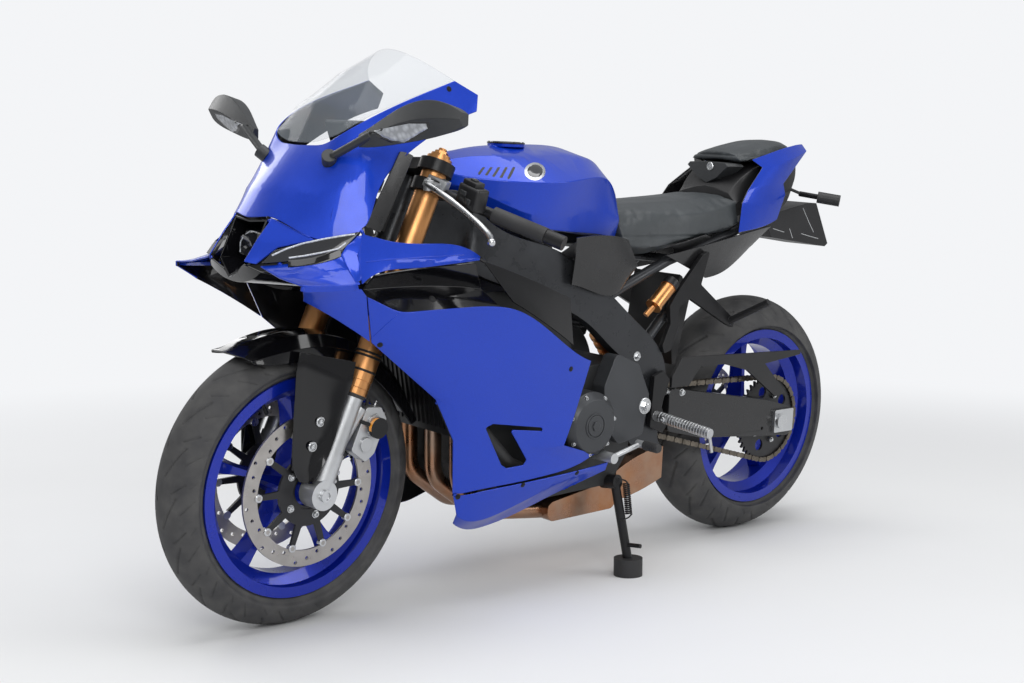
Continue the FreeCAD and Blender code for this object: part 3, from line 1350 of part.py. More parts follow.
def make_stay():
    # The bracket from the head tube that carries the nose, the mirrors and the dash.
    rib = slab(beam_shares, -beam_half_width, beam_half_width)
    arm_start, arm_end = places(stay_arm_shares)
    bar = rod(mirrored_place(arm_start), arm_start, stay_radius)
    arm = rod(arm_start, arm_end, stay_radius)
    end = Part.makeSphere(stay_radius, arm_start)
    post = rod(*places(dash_stay_shares), stay_radius)
    stay = joined([rib, bar, arm, mirrored(arm), end, mirrored(end), post])
    return {"fairing_stay": stay.cut(rod(steer(0), steer(fork_top_height), head_tube_radius))}


def make_fairing():
    screen = sheet(across(screen_rows_shares), glass)
    nose = sheet(across(nose_rows_shares), panel)
    fang = panel_sheet(fang_rows_shares)
    cheek = [panel_sheet(rows) for rows in (cheek_rows_shares, winglet_rows_shares)]
    vent = slab(lower_vent_shares, 0, overrun, vent_corner)
    side = [panel_sheet(panel_nose_rows_shares), panel_sheet(side_panel_rows_shares).cut(vent)]
    inner = [panel_sheet(blade_rows_shares), panel_sheet(vent_rows_shares)]
    ducts = [panel_sheet(duct_rows_shares), panel_sheet(insert_rows_shares)]
    chin = sheet(across(chin_rows_shares), panel)
    return {
        "windscreen": screen,
        "nose_cowl": Part.makeCompound([nose, fang, mirrored(fang)]),
        "cheek_cowls": both(Part.makeCompound(cheek)),
        "side_panels": both(Part.makeCompound(side)),
        "belly_pan": both(panel_sheet(belly_rows_shares)),
        "inner_panels": both(Part.makeCompound(inner)),
        "cowl_ducts": both(Part.makeCompound(ducts)),
        "intake_mask": joined([make_mask(), chin]),
        "front_lamps": make_front_lamps(),
    }


# Small parts
def make_mirrors():
    arm = bent_rod(places(mirror_arm_shares), mirror_arm_radius, mirror_arm_bend)
    pad = rod(*places(mirror_pad_shares), mirror_pad_radius)
    front_share, edge_share = mirror_shell_shares
    sections = []
    for y, front, rear, low, high in mirror_stations_shares:
        deep = front - (front - rear) * front_share
        inset = (high - low) * edge_share
        middle = (low + high) / 2
        outline = ((front, middle), (deep, high), (rear, high - inset), (rear, low + inset), (deep, low))
        sections.append([at((x, y, z)) for x, z in outline])
    return {"mirrors": both(joined([arm, pad, loft(sections)]))}


def make_footrests():
    # The rider's pegs on their triangular plates, and the pillion's folded pegs on their hangers.
    peg = rod(*places(peg_shares), peg_radius)
    feeler = rod(*places(peg_feeler_shares), peg_feeler_radius)
    outer = pivot_half_width + peg_plate_thickness
    plate = slab(peg_plate_shares, pivot_half_width, outer)
    bosses = []
    for share in peg_boss_shares:
        bosses.append(cross_rod(at(share), peg_boss_inner, outer, peg_boss_radius))
    rider = joined([peg, feeler, plate] + bosses)
    hanger = slab(pillion_hanger_shares, pillion_planes[0], pillion_planes[1], pillion_corner)
    folded = rod(*places(pillion_peg_shares), pillion_peg_radius)
    return {
        "rider_footrests": both(rider),
        "pillion_footrests": both(joined([hanger, folded])),
    }


def make_foot_lever():
    # The shift lever: a boss on the engine, the arm and the toe peg.
    boss, toe = (Vector(reach * x, shift_plane, tank_height * z) for x, z in shift_shares)
    arm = rod(boss, toe, shift_radius)
    pivot = cross_rod(boss, engine_half_width, shift_plane + shift_boss_radius, shift_boss_radius)
    peg = cross_rod(toe, shift_plane - shift_toe_radius, shift_toe_end, shift_toe_radius)
    return {"foot_levers": both(joined([arm, pivot, peg]))}


def make_stand():
    # The leg reaches the puck, whose underside lies on the floor once the bike leans.
    tilt = math.radians(lean_angle)
    floor_up = Vector(0, -math.sin(tilt), math.cos(tilt))
    pivot = at(stand_pivot_shares)
    foot = at(stand_foot_shares)
    on_floor = foot - floor_up * foot.dot(floor_up)
    puck = rod(on_floor, on_floor + floor_up * puck_height, puck_radius)
    axis = Vector(*stand_axis_shares).normalize()
    eye = rod(pivot - axis * stand_eye_half, pivot + axis * stand_eye_half, stand_eye_radius)
    ankle = on_floor + floor_up * (puck_height - stand_radius)
    leg = rod(pivot, ankle, stand_radius)
    tang_start = pivot + (ankle - pivot) * tang_share
    tang = rod(tang_start, tang_start + axis * tang_length, tang_radius)
    lug_end = pivot - axis * (stand_eye_half + seam / 2)
    lug = rod(lug_end - axis * stand_lug_length, lug_end, stand_eye_radius)
    return {
        "side_stand": joined([eye, leg, tang]).cut(lug).cut(puck),
        "stand_puck": puck,
        "stand_bracket": lug,
    }


front_wheel_nodes = ("front_tyre", "front_rim", "front_discs")
rear_wheel_nodes = ("rear_tyre", "rear_rim", "rear_disc", "rear_sprocket")
stand_nodes = ("side_stand", "stand_puck")
steering_nodes = front_wheel_nodes + (
    "fork_outer_tubes", "fork_lowers", "fork_clamps", "clip_on_bars", "grips", "controls",
    "front_axle", "front_calipers", "brake_hoses", "reflectors", "front_fender",
)
makers = (
    make_wheels, make_fork, make_frame, make_swingarm, make_shafts, make_shock, make_rear_brake,
    make_chain_guard,
    make_chain, make_engine, make_exhaust, make_radiator, make_body, make_fairing, make_dash, make_stay,
    make_mirrors, make_footrests, make_foot_lever, make_stand,
)

# Pieces that are notched round the neighbours that pass through or seat on them
trims = (
    ("engine_block", ("frame", "chassis_shafts")),
    ("tank", ("frame",)),
    ("tail_core", ("seat_subframe", "lock_cover", "rear_lamps")),
    ("plate_holder", ("rear_lamps", "tail_core")),
    ("rider_seat", ("seat_subframe",)),
    ("stand_bracket", ("engine_block",)),
    ("nose_cowl", ("mirrors",)),
    ("cowl_ducts", ("nose_cowl", "radiator")),
    ("fairing_stay", ("frame", "mirrors", "dash")),
    ("front_lamps", ("nose_cowl",)),
    ("intake_mask", ("nose_cowl", "front_lamps", "cheek_cowls")),
    ("front_calipers", ("fork_lowers",)),
    ("brake_hoses", ("front_calipers", "fork_clamps", "fork_lowers", "fork_outer_tubes")),
    ("reflectors", ("fork_lowers", "front_calipers")),
    ("controls", ("clip_on_bars",)),
    ("fork_lowers", ("front_axle",)),
    ("shock_absorber", ("frame", "swingarm", "seat_subframe")),
    ("rear_caliper", ("swingarm",)),
    ("chain_guard", ("swingarm",)),
    ("rider_footrests", ("frame",)),
    ("pillion_footrests", ("seat_subframe",)),
    ("foot_levers", ("engine_block", "engine_covers")),
    ("coolant_hose", ("engine_block",)),
    ("belly_pan", ("engine_block", "engine_covers", "foot_levers")),
    ("side_panels", ("engine_covers",)),
    ("side_covers", ("seat_subframe", "frame", "pillion_footrests")),
)


# Pieces whose loose solids sit on small bosses, and what carries them
seatings = (
    ("front_fender", ("fork_lowers", "fork_outer_tubes")),
    ("brake_hoses", ("front_calipers",)),
    ("chain_guard", ("swingarm",)),
    ("rear_inner_fender", ("seat_subframe",)),
    ("rear_lamps", ("tail_core",)),
    ("plate_holder", ("tail_core",)),
    ("tail_cowls", ("tail_core",)),
    ("pillion_seat", ("tail_core",)),
    ("side_covers", ("seat_subframe",)),
    ("intake_mask", ("nose_cowl",)),
    ("nose_cowl", ("fairing_stay", "intake_mask")),
    ("cheek_cowls", ("nose_cowl", "front_lamps")),
    ("front_lamps", ("cheek_cowls", "intake_mask")),
    ("side_panels", ("cheek_cowls", "engine_block", "cowl_ducts")),
    ("belly_pan", ("side_panels",)),
    ("inner_panels", ("side_panels", "cheek_cowls")),
    ("cowl_ducts", ("side_panels", "nose_cowl")),
    ("radiator", ("frame",)),
    ("pillion_footrests", ("seat_subframe",)),
)


def seated(shape, carriers):
    # Each loose solid gets a boss at the place where it comes nearest to what carries it.
    pieces = []
    for solid in shape.Solids:
        gap, spots, _ = solid.distToShape(carriers)
        if seam / 2 < gap < seat_reach:
            start, end = spots[0]
            way = (end - start).normalize() * boss_depth
            boss = rod(start - way, end + way, boss_radius).cut(carriers)
            solid = joined([solid, boss])
        pieces.append(solid)
    return Part.makeCompound(pieces)


def make_all():
    nodes = {}
    for maker in makers:
        nodes.update(maker())
    for name in steering_nodes:
        nodes[name].rotate(steer_foot, up_steer, steer_angle)
    for name, neighbours in trims:
        for neighbour in neighbours:
            nodes[name] = nodes[name].cut(nodes[neighbour])
    for name, carriers in seatings:
        nodes[name] = seated(nodes[name], Part.makeCompound([nodes[carrier] for carrier in carriers]))
    for shape in nodes.values():
        shape.rotate(Vector(0, 0, 0), Vector(1, 0, 0), -lean_angle)
    return nodes


def bounds(nodes):
    whole = FreeCAD.BoundBox()
    for shape in nodes.values():
        whole.add(shape.optimalBoundingBox(False, False))
    return whole


nodes = make_all()
whole = bounds(nodes)
shift = Vector(-whole.Center.x, -whole.Center.y, -whole.ZMin)
os.makedirs("parts", exist_ok=True)
for name, shape in nodes.items():
    shape.translate(shift)
    shape.exportStep("parts/" + name + ".step")
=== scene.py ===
import json
import math

import bmesh
import bpy
from mathutils import Matrix, Vector, geometry
from mathutils.bvhtree import BVHTree


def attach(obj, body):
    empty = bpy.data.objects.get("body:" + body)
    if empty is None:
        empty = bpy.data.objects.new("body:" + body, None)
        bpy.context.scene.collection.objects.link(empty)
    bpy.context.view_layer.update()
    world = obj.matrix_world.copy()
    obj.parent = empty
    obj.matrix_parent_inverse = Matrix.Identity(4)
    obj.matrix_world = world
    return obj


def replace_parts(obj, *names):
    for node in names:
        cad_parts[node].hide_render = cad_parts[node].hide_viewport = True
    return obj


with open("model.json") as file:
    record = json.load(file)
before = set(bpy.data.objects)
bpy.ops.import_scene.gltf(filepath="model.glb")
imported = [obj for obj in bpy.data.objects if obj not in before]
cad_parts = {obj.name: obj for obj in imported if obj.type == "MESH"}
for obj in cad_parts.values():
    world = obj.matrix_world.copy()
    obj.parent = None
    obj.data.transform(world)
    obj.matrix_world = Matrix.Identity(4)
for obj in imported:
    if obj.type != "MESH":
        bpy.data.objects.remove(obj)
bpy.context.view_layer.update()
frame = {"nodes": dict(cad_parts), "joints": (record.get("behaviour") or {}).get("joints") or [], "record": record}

MM = 0.001
scene = bpy.context.scene


# The bike's own upright axes: x ahead, y left, z up, in millimetres from below the rear axle

joints = {joint["name"]: joint for joint in frame["joints"]}
rear_axle = Vector(joints["rear_wheel_spin"]["pos_m"])
rear_way = Vector(joints["rear_wheel_spin"]["axis"])
front_axle = Vector(joints["front_wheel_spin"]["pos_m"])
front_way = Vector(joints["front_wheel_spin"]["axis"])
steer_spot = Vector(joints["steering_turn"]["pos_m"])
steer_way = Vector(joints["steering_turn"]["axis"])
REAR_RADIUS = 315.0
FRONT_RADIUS = 300.0
WHEELBASE = 1420.0
RAKE = math.radians(22.6)
STEER_ANGLE = math.radians(2.98)
FORK_LEG = 105.0
lean_turn = Matrix.Rotation(math.atan2(rear_way.z, rear_way.y), 3, "X")
floor_shift = rear_axle - lean_turn @ Vector((0, 0, REAR_RADIUS * MM))
steer_turn = Matrix.Rotation(STEER_ANGLE, 3, steer_way)
bike_ahead = Vector((1, 0, 0))
bike_left = lean_turn @ Vector((0, 1, 0))
bike_up = lean_turn @ Vector((0, 0, 1))


def at(x, y, z):
    return lean_turn @ Vector((x, y, z)) * MM + floor_shift


def upright(place):
    # The way back: a place in the frame as the bike's own millimetres.
    return lean_turn.transposed() @ (place - floor_shift) / MM


def fork_at(height, ahead, left):
    # A place up the fork from the front axle's height, ahead of the leg and left of the middle.
    up = Vector((-math.sin(RAKE), 0, math.cos(RAKE)))
    fore = Vector((math.cos(RAKE), 0, math.sin(RAKE)))
    spot = Vector((WHEELBASE, 0, FRONT_RADIUS)) + up * height + fore * ahead
    return steer_turn @ (at(spot.x, left, spot.z) - steer_spot) + steer_spot


fork_up = (fork_at(100, 0, 0) - fork_at(0, 0, 0)).normalized()
fork_ahead = (fork_at(0, 100, 0) - fork_at(0, 0, 0)).normalized()


def fork_outward(side):
    return steer_turn @ (lean_turn @ Vector((0, side, 0)))


def same_side(place):
    return place


def other_side(place):
    return place - bike_left * (2 * (place - floor_shift).dot(bike_left))


def other_way(way):
    return way - bike_left * (2 * way.dot(bike_left))


def steered_side(place):
    # The other side of the steered pieces.
    return place - front_way * (2 * (place - front_axle).dot(front_way))


def tread_place(axle, way, radius, turn, width):
    # A place of the tyre by its turn from the level, its radius and its distance along the axle.
    ahead = way.cross(Vector((0, 0, 1))).normalized() * -1
    up = way.cross(ahead).normalized() * -1
    return axle + (ahead * math.cos(turn) + up * math.sin(turn)) * radius * MM + way * width * MM


def wheel_places(axle, way, count, start, radius, along):
    # Places evenly round a wheel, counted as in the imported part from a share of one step.
    forward = (lean_turn @ Vector((1, 0, 0)) - way * way.x).normalized()
    upward = forward.cross(way)
    places = []
    for index in range(count):
        turn = 2 * math.pi * (index + start) / count
        spoke = forward * math.cos(turn) + upward * math.sin(turn)
        places.append(axle + spoke * radius * MM + way * along * MM)
    return places


def from_axle(place, axle, way):
    # The distance from a wheel's axis in millimetres.
    away = (place - axle) / MM
    return (away - way * away.dot(way)).length


def placed(name, data):
    # A new object in the scene.
    thing = bpy.data.objects.new(name, data)
    scene.collection.objects.link(thing)
    return thing


# The photo's camera

PHOTO_WIDTH = 1024
PHOTO_HEIGHT = 683
FOCAL_PIXELS = 1477.63
SENSOR = 36.0
CAMERA_SPOT = (3060.8, 2601.1, 879.4)
CAMERA_YAW = math.radians(-131.2061)
CAMERA_PITCH = math.radians(-5.4381)
CAMERA_ROLL = math.radians(0.0260)
camera_place = Vector(CAMERA_SPOT) * MM + floor_shift
ahead_view = Vector((
    math.cos(CAMERA_PITCH) * math.cos(CAMERA_YAW),
    math.cos(CAMERA_PITCH) * math.sin(CAMERA_YAW),
    math.sin(CAMERA_PITCH),
))
level = ahead_view.cross(Vector((0, 0, 1))).normalized()
steep = level.cross(ahead_view)
right_view = level * math.cos(CAMERA_ROLL) + steep * math.sin(CAMERA_ROLL)
up_view = steep * math.cos(CAMERA_ROLL) - level * math.sin(CAMERA_ROLL)
lens = bpy.data.cameras.new("camera")
lens.sensor_width = SENSOR
lens.lens = FOCAL_PIXELS / PHOTO_WIDTH * SENSOR
camera = placed("camera", lens)
camera_axes = Matrix((right_view, up_view, -ahead_view)).transposed()
camera.matrix_world = Matrix.Translation(camera_place) @ camera_axes.to_4x4()
scene.camera = camera


# Shader nodes

MIX_FIRST = 6
MIX_SECOND = 7
MIX_COLOUR = 2


def feed(tree, node, socket, source):
    # Links a node's output to a socket, or sets the socket to a plain value.
    if isinstance(source, bpy.types.NodeSocket):
        tree.links.new(source, node.inputs[socket])
    else:
        node.inputs[socket].default_value = source


def add_node(tree, kind, sources, out=0, **settings):
    # One output of a new node that has its settings made and its sockets fed.
    node = tree.nodes.new("ShaderNode" + kind)
    for key, value in settings.items():
        setattr(node, key, value)
    for socket, source in sources.items():
        feed(tree, node, socket, source)
    return node.outputs[out]


def new_finish(name):
    material = bpy.data.materials.new(name)
    material.use_nodes = True
    tree = material.node_tree
    return material, tree, add_node(tree, "TexCoord", {}, "Object")


def set_shader(tree, sources):
    for socket, source in sources.items():
        feed(tree, tree.nodes["Principled BSDF"], socket, source)


def noise(tree, coords, scale, detail=3.0, stretch=None):
    if stretch:
        coords = add_node(tree, "Mapping", {"Scale": stretch, "Vector": coords})
    return add_node(tree, "TexNoise", {"Scale": scale, "Detail": detail, "Vector": coords})


def cells(tree, coords, scale, feature="F1"):
    return add_node(tree, "TexVoronoi", {"Scale": scale, "Vector": coords}, "Distance", feature=feature)


def ranged(tree, value, low=0.0, high=1.0, start=0.3, end=0.7):
    limits = {"From Min": start, "From Max": end, "To Min": low, "To Max": high}
    return add_node(tree, "MapRange", {**limits, "Value": value})


def mixed(tree, factor, first, second):
    # A blend of two colours, each plain or another node's.
    first, second = [(*colour, 1) if isinstance(colour, tuple) else colour for colour in (first, second)]
    sources = {"Factor": factor, MIX_FIRST: first, MIX_SECOND: second}
    return add_node(tree, "Mix", sources, MIX_COLOUR, data_type="RGBA")


def shade(colour, share):
    return tuple(min(1.0, channel * share) for channel in colour)


def mottled(tree, factor, colour, spread):
    # A colour that drifts a little to both sides of itself.
    return mixed(tree, factor, shade(colour, 1 - spread), shade(colour, 1 + spread))


def bumped(tree, height, depth, strength, base=None):
    # A height map with its depth in metres, on top of another one where there is one.
    sources = {"Height": height, "Distance": depth, "Strength": strength}
    if base:
        sources["Normal"] = base
    return add_node(tree, "Bump", sources)


# Finishes

FLAKE_SCALE = 1400.0
PEEL_SCALE = 420.0
PEEL_DEPTH = 0.00004
GRAIN_DEPTH = 0.0001
BIKE_MIDDLE = (1020, 0, 720)
SIDEWAYS_WEIGHT = (1.0, 3.0, 1.0)


def surface(name, colour, rough, metal=0.0, coat=0.0, coat_rough=0.04, spread=0.08, mottle=0.14,
            patch=9.0, grain=900.0, grain_strength=0.25, stretch=None, specular=0.5):
    # A finish with soft patches of colour, uneven gloss and a fine grain.
    material, tree, coords = new_finish(name)
    smears = noise(tree, coords, patch * 4, 6.0, stretch)
    set_shader(tree, {
        "Base Color": mottled(tree, ranged(tree, noise(tree, coords, patch, 5.0)), colour, mottle),
        "Roughness": ranged(tree, smears, max(rough - spread, 0.02), rough + spread),
        "Normal": bumped(tree, noise(tree, coords, grain, 2.0, stretch), GRAIN_DEPTH, grain_strength),
        "Metallic": metal, "Specular IOR Level": specular,
        "Coat Weight": coat, "Coat Roughness": coat_rough,
    })
    return material


def outward_mask(tree, coords):
    # 1 on faces that look away from the bike's middle, 0 on the hidden side of a panel.
    away = add_node(tree, "VectorMath", {0: coords, 1: at(*BIKE_MIDDLE)}, operation="SUBTRACT")
    wide = add_node(tree, "VectorMath", {0: away, 1: SIDEWAYS_WEIGHT}, operation="MULTIPLY")
    normal = add_node(tree, "TexCoord", {}, "Normal")
    facing = add_node(tree, "VectorMath", {0: wide, 1: normal}, "Value", operation="DOT_PRODUCT")
    return ranged(tree, facing, start=-0.03, end=0.0)


def car_paint(name, colour, metal, rough, hidden=None):
    # Metallic paint under clear coat: flakes in the base, a fine orange peel in the coat.
    material, tree, coords = new_finish(name)
    sparkle = ranged(tree, cells(tree, coords, FLAKE_SCALE), 0.82, 1.18, 0.1, 0.8)
    deep = mottled(tree, noise(tree, coords, 3.0), colour, 0.08)
    base = add_node(tree, "VectorMath", {0: deep, "Scale": sparkle}, operation="SCALE")
    if hidden:
        base = mixed(tree, outward_mask(tree, coords), hidden, base)
    set_shader(tree, {
        "Base Color": base,
        "Roughness": ranged(tree, noise(tree, coords, 22.0, 5.0), rough - 0.05, rough + 0.05),
        "Normal": bumped(tree, noise(tree, coords, PEEL_SCALE, 2.0), PEEL_DEPTH, 0.12),
        "Metallic": metal, "Specular IOR Level": 0.2, "Coat Weight": 0.6, "Coat Roughness": 0.03,
    })
    return material


def grained(name, colour, rough, cell, depth):
    # Moulded or leather-like skin: closed cells with smooth tops.
    material, tree, coords = new_finish(name)
    patches = noise(tree, coords, 12.0, 5.0)
    skin_bump = bumped(tree, cells(tree, coords, cell, "SMOOTH_F1"), depth, 0.35)
    set_shader(tree, {
        "Base Color": mottled(tree, ranged(tree, patches), colour, 0.14),
        "Roughness": ranged(tree, patches, rough + 0.07, rough - 0.07),
        "Normal": bumped(tree, noise(tree, coords, 2400.0), depth / 3, 0.2, skin_bump),
    })
    return material


def clear(name, colour, alpha, rough=0.03):
    # A thin see-through sheet with faint wiping marks.
    material, tree, coords = new_finish(name)
    haze = noise(tree, coords, 14.0, 4.0)
    set_shader(tree, {
        "Base Color": mottled(tree, haze, colour, 0.06),
        "Roughness": ranged(tree, haze, rough, rough + 0.05),
        "Alpha": alpha, "Coat Weight": 0.4, "Coat Roughness": 0.02,
    })
    return material


def prism(name, colour, rough, cell, glow=0.0):
    # A lens moulded with small prisms behind its face, each prism painted lighter in its middle and darker at its
    # rim as a glint.
    material, tree, coords = new_finish(name)
    prisms = cells(tree, coords, cell)
    spot = ranged(tree, prisms, 0.0, 1.0, 0.0, 0.7)
    set_shader(tree, {
        # Painted glints over the prisms' pattern: each prism lighter in its middle and darker at its rim
        "Base Color": mixed(tree, spot, shade(colour, 1.25), shade(colour, 0.6)),
        "Roughness": ranged(tree, spot, rough, rough + 0.1, 0.0, 1.0),
        "Normal": bumped(tree, prisms, 0.0006, 0.5),
        "Coat Weight": 1.0,
    })
    # Where a glow is given the lens emits light; on the amber reflectors, which are no lamp, this glow is painted
    # light
    if glow:
        set_shader(tree, {"Emission Color": (*colour, 1), "Emission Strength": glow})
    return material


def heated(name, bronze, brown, straw):
    # Steel with heat colours that drift along the pipes.
    material, tree, coords = new_finish(name)
    tint = noise(tree, coords, 17.0, 5.0)
    warm = mixed(tree, ranged(tree, noise(tree, coords, 7.0, 4.0), start=0.35, end=0.6), bronze, brown)
    set_shader(tree, {
        "Base Color": mixed(tree, ranged(tree, tint, 0.0, 0.55, 0.45, 0.75), warm, straw),
        "Roughness": ranged(tree, tint, 0.2, 0.42),
        "Normal": bumped(tree, noise(tree, coords, 260.0, stretch=(0.2, 1.0, 1.0)), 0.0001, 0.2),
        "Metallic": 1.0,
    })
    return material


def tyre_rubber(name, black, dusty):
    # Rubber with a dusty film and faint scuffs.
    material, tree, coords = new_finish(name)
    dust = noise(tree, coords, 26.0, 6.0)
    set_shader(tree, {
        "Base Color": mixed(tree, ranged(tree, dust, start=0.35), black, dusty),
        "Roughness": ranged(tree, dust, 0.62, 0.82),
        "Normal": bumped(tree, noise(tree, coords, 700.0, 4.0), 0.0002, 0.3),
    })
    return material


BLUE = (0.003, 0.040, 0.45)
WHEEL_BLUE = (0.004, 0.020, 0.34)
PANEL_BACK = (0.010, 0.010, 0.011)
SILVER = (0.56, 0.57, 0.58)
BRUSHED = (1.0, 1.0, 0.2)
DRAWN = (1.0, 1.0, 0.15)
makers = {
    car_paint: {
        "blue_paint": dict(colour=BLUE, metal=0.35, rough=0.36),
        "cowl_paint": dict(colour=BLUE, metal=0.35, rough=0.36, hidden=PANEL_BACK),
        "wheel_blue": dict(colour=WHEEL_BLUE, metal=0.45, rough=0.3),
    },
    tyre_rubber: {"tyre": dict(black=(0.034, 0.034, 0.036), dusty=(0.072, 0.071, 0.070))},
    heated: {"exhaust": dict(bronze=(0.36, 0.17, 0.085), brown=(0.30, 0.20, 0.15), straw=(0.45, 0.33, 0.24))},
    grained: {
        "rubber": dict(colour=(0.022, 0.022, 0.023), rough=0.62, cell=700.0, depth=0.0003),
        "matt_plastic": dict(colour=(0.024, 0.026, 0.028), rough=0.46, cell=900.0, depth=0.0002),
        "dark_plastic": dict(colour=(0.009, 0.009, 0.010), rough=0.44, cell=900.0, depth=0.0002),
        "vinyl": dict(colour=(0.036, 0.042, 0.046), rough=0.5, cell=620.0, depth=0.0004),
    },
    surface: {
        "gold": dict(
            colour=(0.64, 0.31, 0.12), rough=0.36, metal=1.0, mottle=0.06, grain=500.0, stretch=DRAWN),
        "silver": dict(colour=SILVER, rough=0.30, metal=1.0, mottle=0.05, grain=600.0, stretch=BRUSHED),
        "cast_silver": dict(
            colour=(0.52, 0.53, 0.54), rough=0.42, metal=0.85, grain=1300.0, grain_strength=0.4),
        "disc_steel": dict(
            colour=(0.40, 0.38, 0.36), rough=0.34, metal=0.95, mottle=0.1, patch=30.0, grain=1500.0),
        "carrier_black": dict(colour=(0.014, 0.014, 0.016), rough=0.38, metal=0.2),
        "black_metal": dict(
            colour=(0.012, 0.012, 0.013), rough=0.36, metal=0.1, specular=0.3, grain_strength=0.35),
        "arm_black": dict(
            colour=(0.011, 0.011, 0.012), rough=0.30, metal=0.1, coat=0.5, coat_rough=0.18, specular=0.25),
        "dark_grey": dict(colour=(0.036, 0.038, 0.042), rough=0.32, metal=0.5, grain_strength=0.35),
        "engine_grey": dict(
            colour=(0.055, 0.058, 0.063), rough=0.40, metal=0.5, grain=1500.0, grain_strength=0.5),
        "engine_dark": dict(
            colour=(0.020, 0.021, 0.022), rough=0.55, metal=0.2, grain=1500.0, grain_strength=0.5),
        "gloss_black": dict(
            colour=(0.004, 0.004, 0.005), rough=0.12, coat=0.55, spread=0.04, grain_strength=0.05,
            specular=0.2),
        "chain": dict(colour=(0.15, 0.13, 0.105), rough=0.34, metal=0.9, patch=40.0, mottle=0.3),
        "glass": dict(colour=(0.55, 0.58, 0.6), rough=0.03, metal=1.0, spread=0.01, grain_strength=0.02),
        "smoke": dict(colour=(0.012, 0.013, 0.016), rough=0.08, coat=1.0, spread=0.03, grain_strength=0.03),
    },
    clear: {
        "screen": dict(colour=(0.40, 0.45, 0.50), alpha=0.15),
        "lamp_cover": dict(colour=(0.80, 0.84, 0.88), alpha=0.6),
    },
    prism: {
        # The reflectors' amber has a painted glow, though they are no lamp
        "amber": dict(colour=(0.95, 0.34, 0.018), rough=0.1, cell=260.0, glow=0.16),
        "red": dict(colour=(0.55, 0.01, 0.012), rough=0.1, cell=240.0),
        "pipe": dict(colour=(0.62, 0.65, 0.7), rough=0.12, cell=300.0, glow=0.1),
        "led": dict(colour=(0.42, 0.44, 0.47), rough=0.06, cell=90.0),
    },
}
materials = {}
for maker, finishes in makers.items():
    for name, values in finishes.items():
        materials[name] = maker(name, **values)

# The nodes that have each finish
finish_nodes = {
    "wheel_blue": ("front_rim", "rear_rim"),
    "disc_steel": ("front_discs", "rear_disc"),
    "carrier_black": ("rear_sprocket",),
    "gold": ("fork_outer_tubes", "shock_absorber"),
    "silver": ("chassis_shafts", "front_axle"),
    "cast_silver": ("fork_lowers", "front_calipers", "foot_levers", "rider_footrests"),
    "black_metal": (
        "fork_clamps", "clip_on_bars", "radiator", "fairing_stay", "rear_caliper", "side_stand",
        "stand_bracket", "pillion_footrests",
    ),
    "arm_black": ("swingarm", "side_covers", "cowl_ducts"),
    "rubber": ("grips", "brake_hoses", "coolant_hose", "stand_puck"),
    # The reflectors: amber with a painted glow
    "amber": ("reflectors",),
    "gloss_black": ("front_fender", "inner_panels", "intake_mask"),
    "dark_grey": ("frame", "seat_subframe"),
    "matt_plastic": ("lock_cover", "mirrors"),
    "dark_plastic": ("chain_guard", "tail_core", "rear_inner_fender", "plate_holder", "dash"),
    "engine_grey": ("engine_covers",),
    "engine_dark": ("engine_block",),
    "exhaust": ("exhaust_headers", "muffler"),
    "blue_paint": ("tank",),
    "cowl_paint": ("nose_cowl", "cheek_cowls", "side_panels", "belly_pan", "tail_cowls"),
    "red": ("rear_lamps",),
    "screen": ("windscreen",),
    "lamp_cover": ("front_lamps",),
}
finish_of = {node: finish for finish, nodes in finish_nodes.items() for node in nodes}
body_of = {node: body for body, nodes in frame["record"]["behaviour"]["bodies"].items() for node in nodes}


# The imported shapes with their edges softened

CREASE = math.radians(28.0)
FLAT_TURN = math.radians(0.4)
WELD = 0.02
edge_widths = {
    1.3: ("nose_cowl", "cheek_cowls", "side_panels", "belly_pan", "tail_cowls"),
    1.2: (
        "tank", "muffler", "engine_covers", "frame", "swingarm", "mirrors", "lock_cover", "tail_core", "dash",
    ),
    0.7: (
        "front_fender", "inner_panels", "cowl_ducts", "side_covers", "windscreen", "front_lamps",
        "intake_mask", "engine_block", "fork_clamps", "front_calipers", "rear_caliper", "rider_footrests",
        "pillion_footrests", "plate_holder", "chain_guard", "rear_inner_fender",
    ),
}
width_of = {node: width for width, nodes in edge_widths.items() for node in nodes}


def modify(piece, kind, **settings):
    # Adds a modifier and makes its settings.
    modifier = piece.modifiers.new(kind.title(), kind)
    for key, value in settings.items():
        setattr(modifier, key, value)
    return modifier


def dress(node):
    # The node's own shape with smooth faces and softened edges that catch the light.
    mesh = frame["nodes"][node].data.copy()
    mesh.name = node + "_dressed"
    mesh.materials.clear()
    mesh.materials.append(materials[finish_of[node]])
    work = bmesh.new()
    work.from_mesh(mesh)
    bmesh.ops.remove_doubles(work, verts=work.verts, dist=WELD * MM)
    bmesh.ops.dissolve_degenerate(work, edges=work.edges, dist=WELD * MM)
    bmesh.ops.dissolve_limit(work, angle_limit=FLAT_TURN, verts=work.verts, edges=work.edges)
    for face in work.faces:
        face.smooth = True
    for edge in work.edges:
        edge.smooth = edge.is_manifold and edge.calc_face_angle(0.0) < CREASE
    work.to_mesh(mesh)
    work.free()
    piece = placed(node + "_dressed", mesh)
    if node in width_of:
        modify(
            piece, "BEVEL", width=width_of[node] * MM, segments=2, limit_method="ANGLE", angle_limit=CREASE,
            use_clamp_overlap=False, miter_outer="MITER_ARC")
        modify(piece, "WEIGHTED_NORMAL", keep_sharp=True)
    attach(piece, body_of[node])
    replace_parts(piece, node)
    return piece


dressed = {node: dress(node) for node in finish_of}


def paint_faces(node, finish, test, needed=all):
    # Gives another finish to the faces of a dressed node whose corners pass a test: all of them, or any.
    mesh = dressed[node].data
    mesh.materials.append(materials[finish])
    for face in mesh.polygons:
        if needed(test(mesh.vertices[corner].co) for corner in face.vertices):
            face.material_index = len(mesh.materials) - 1


# Shapes for the added pieces

HEAD_SIDES = 20
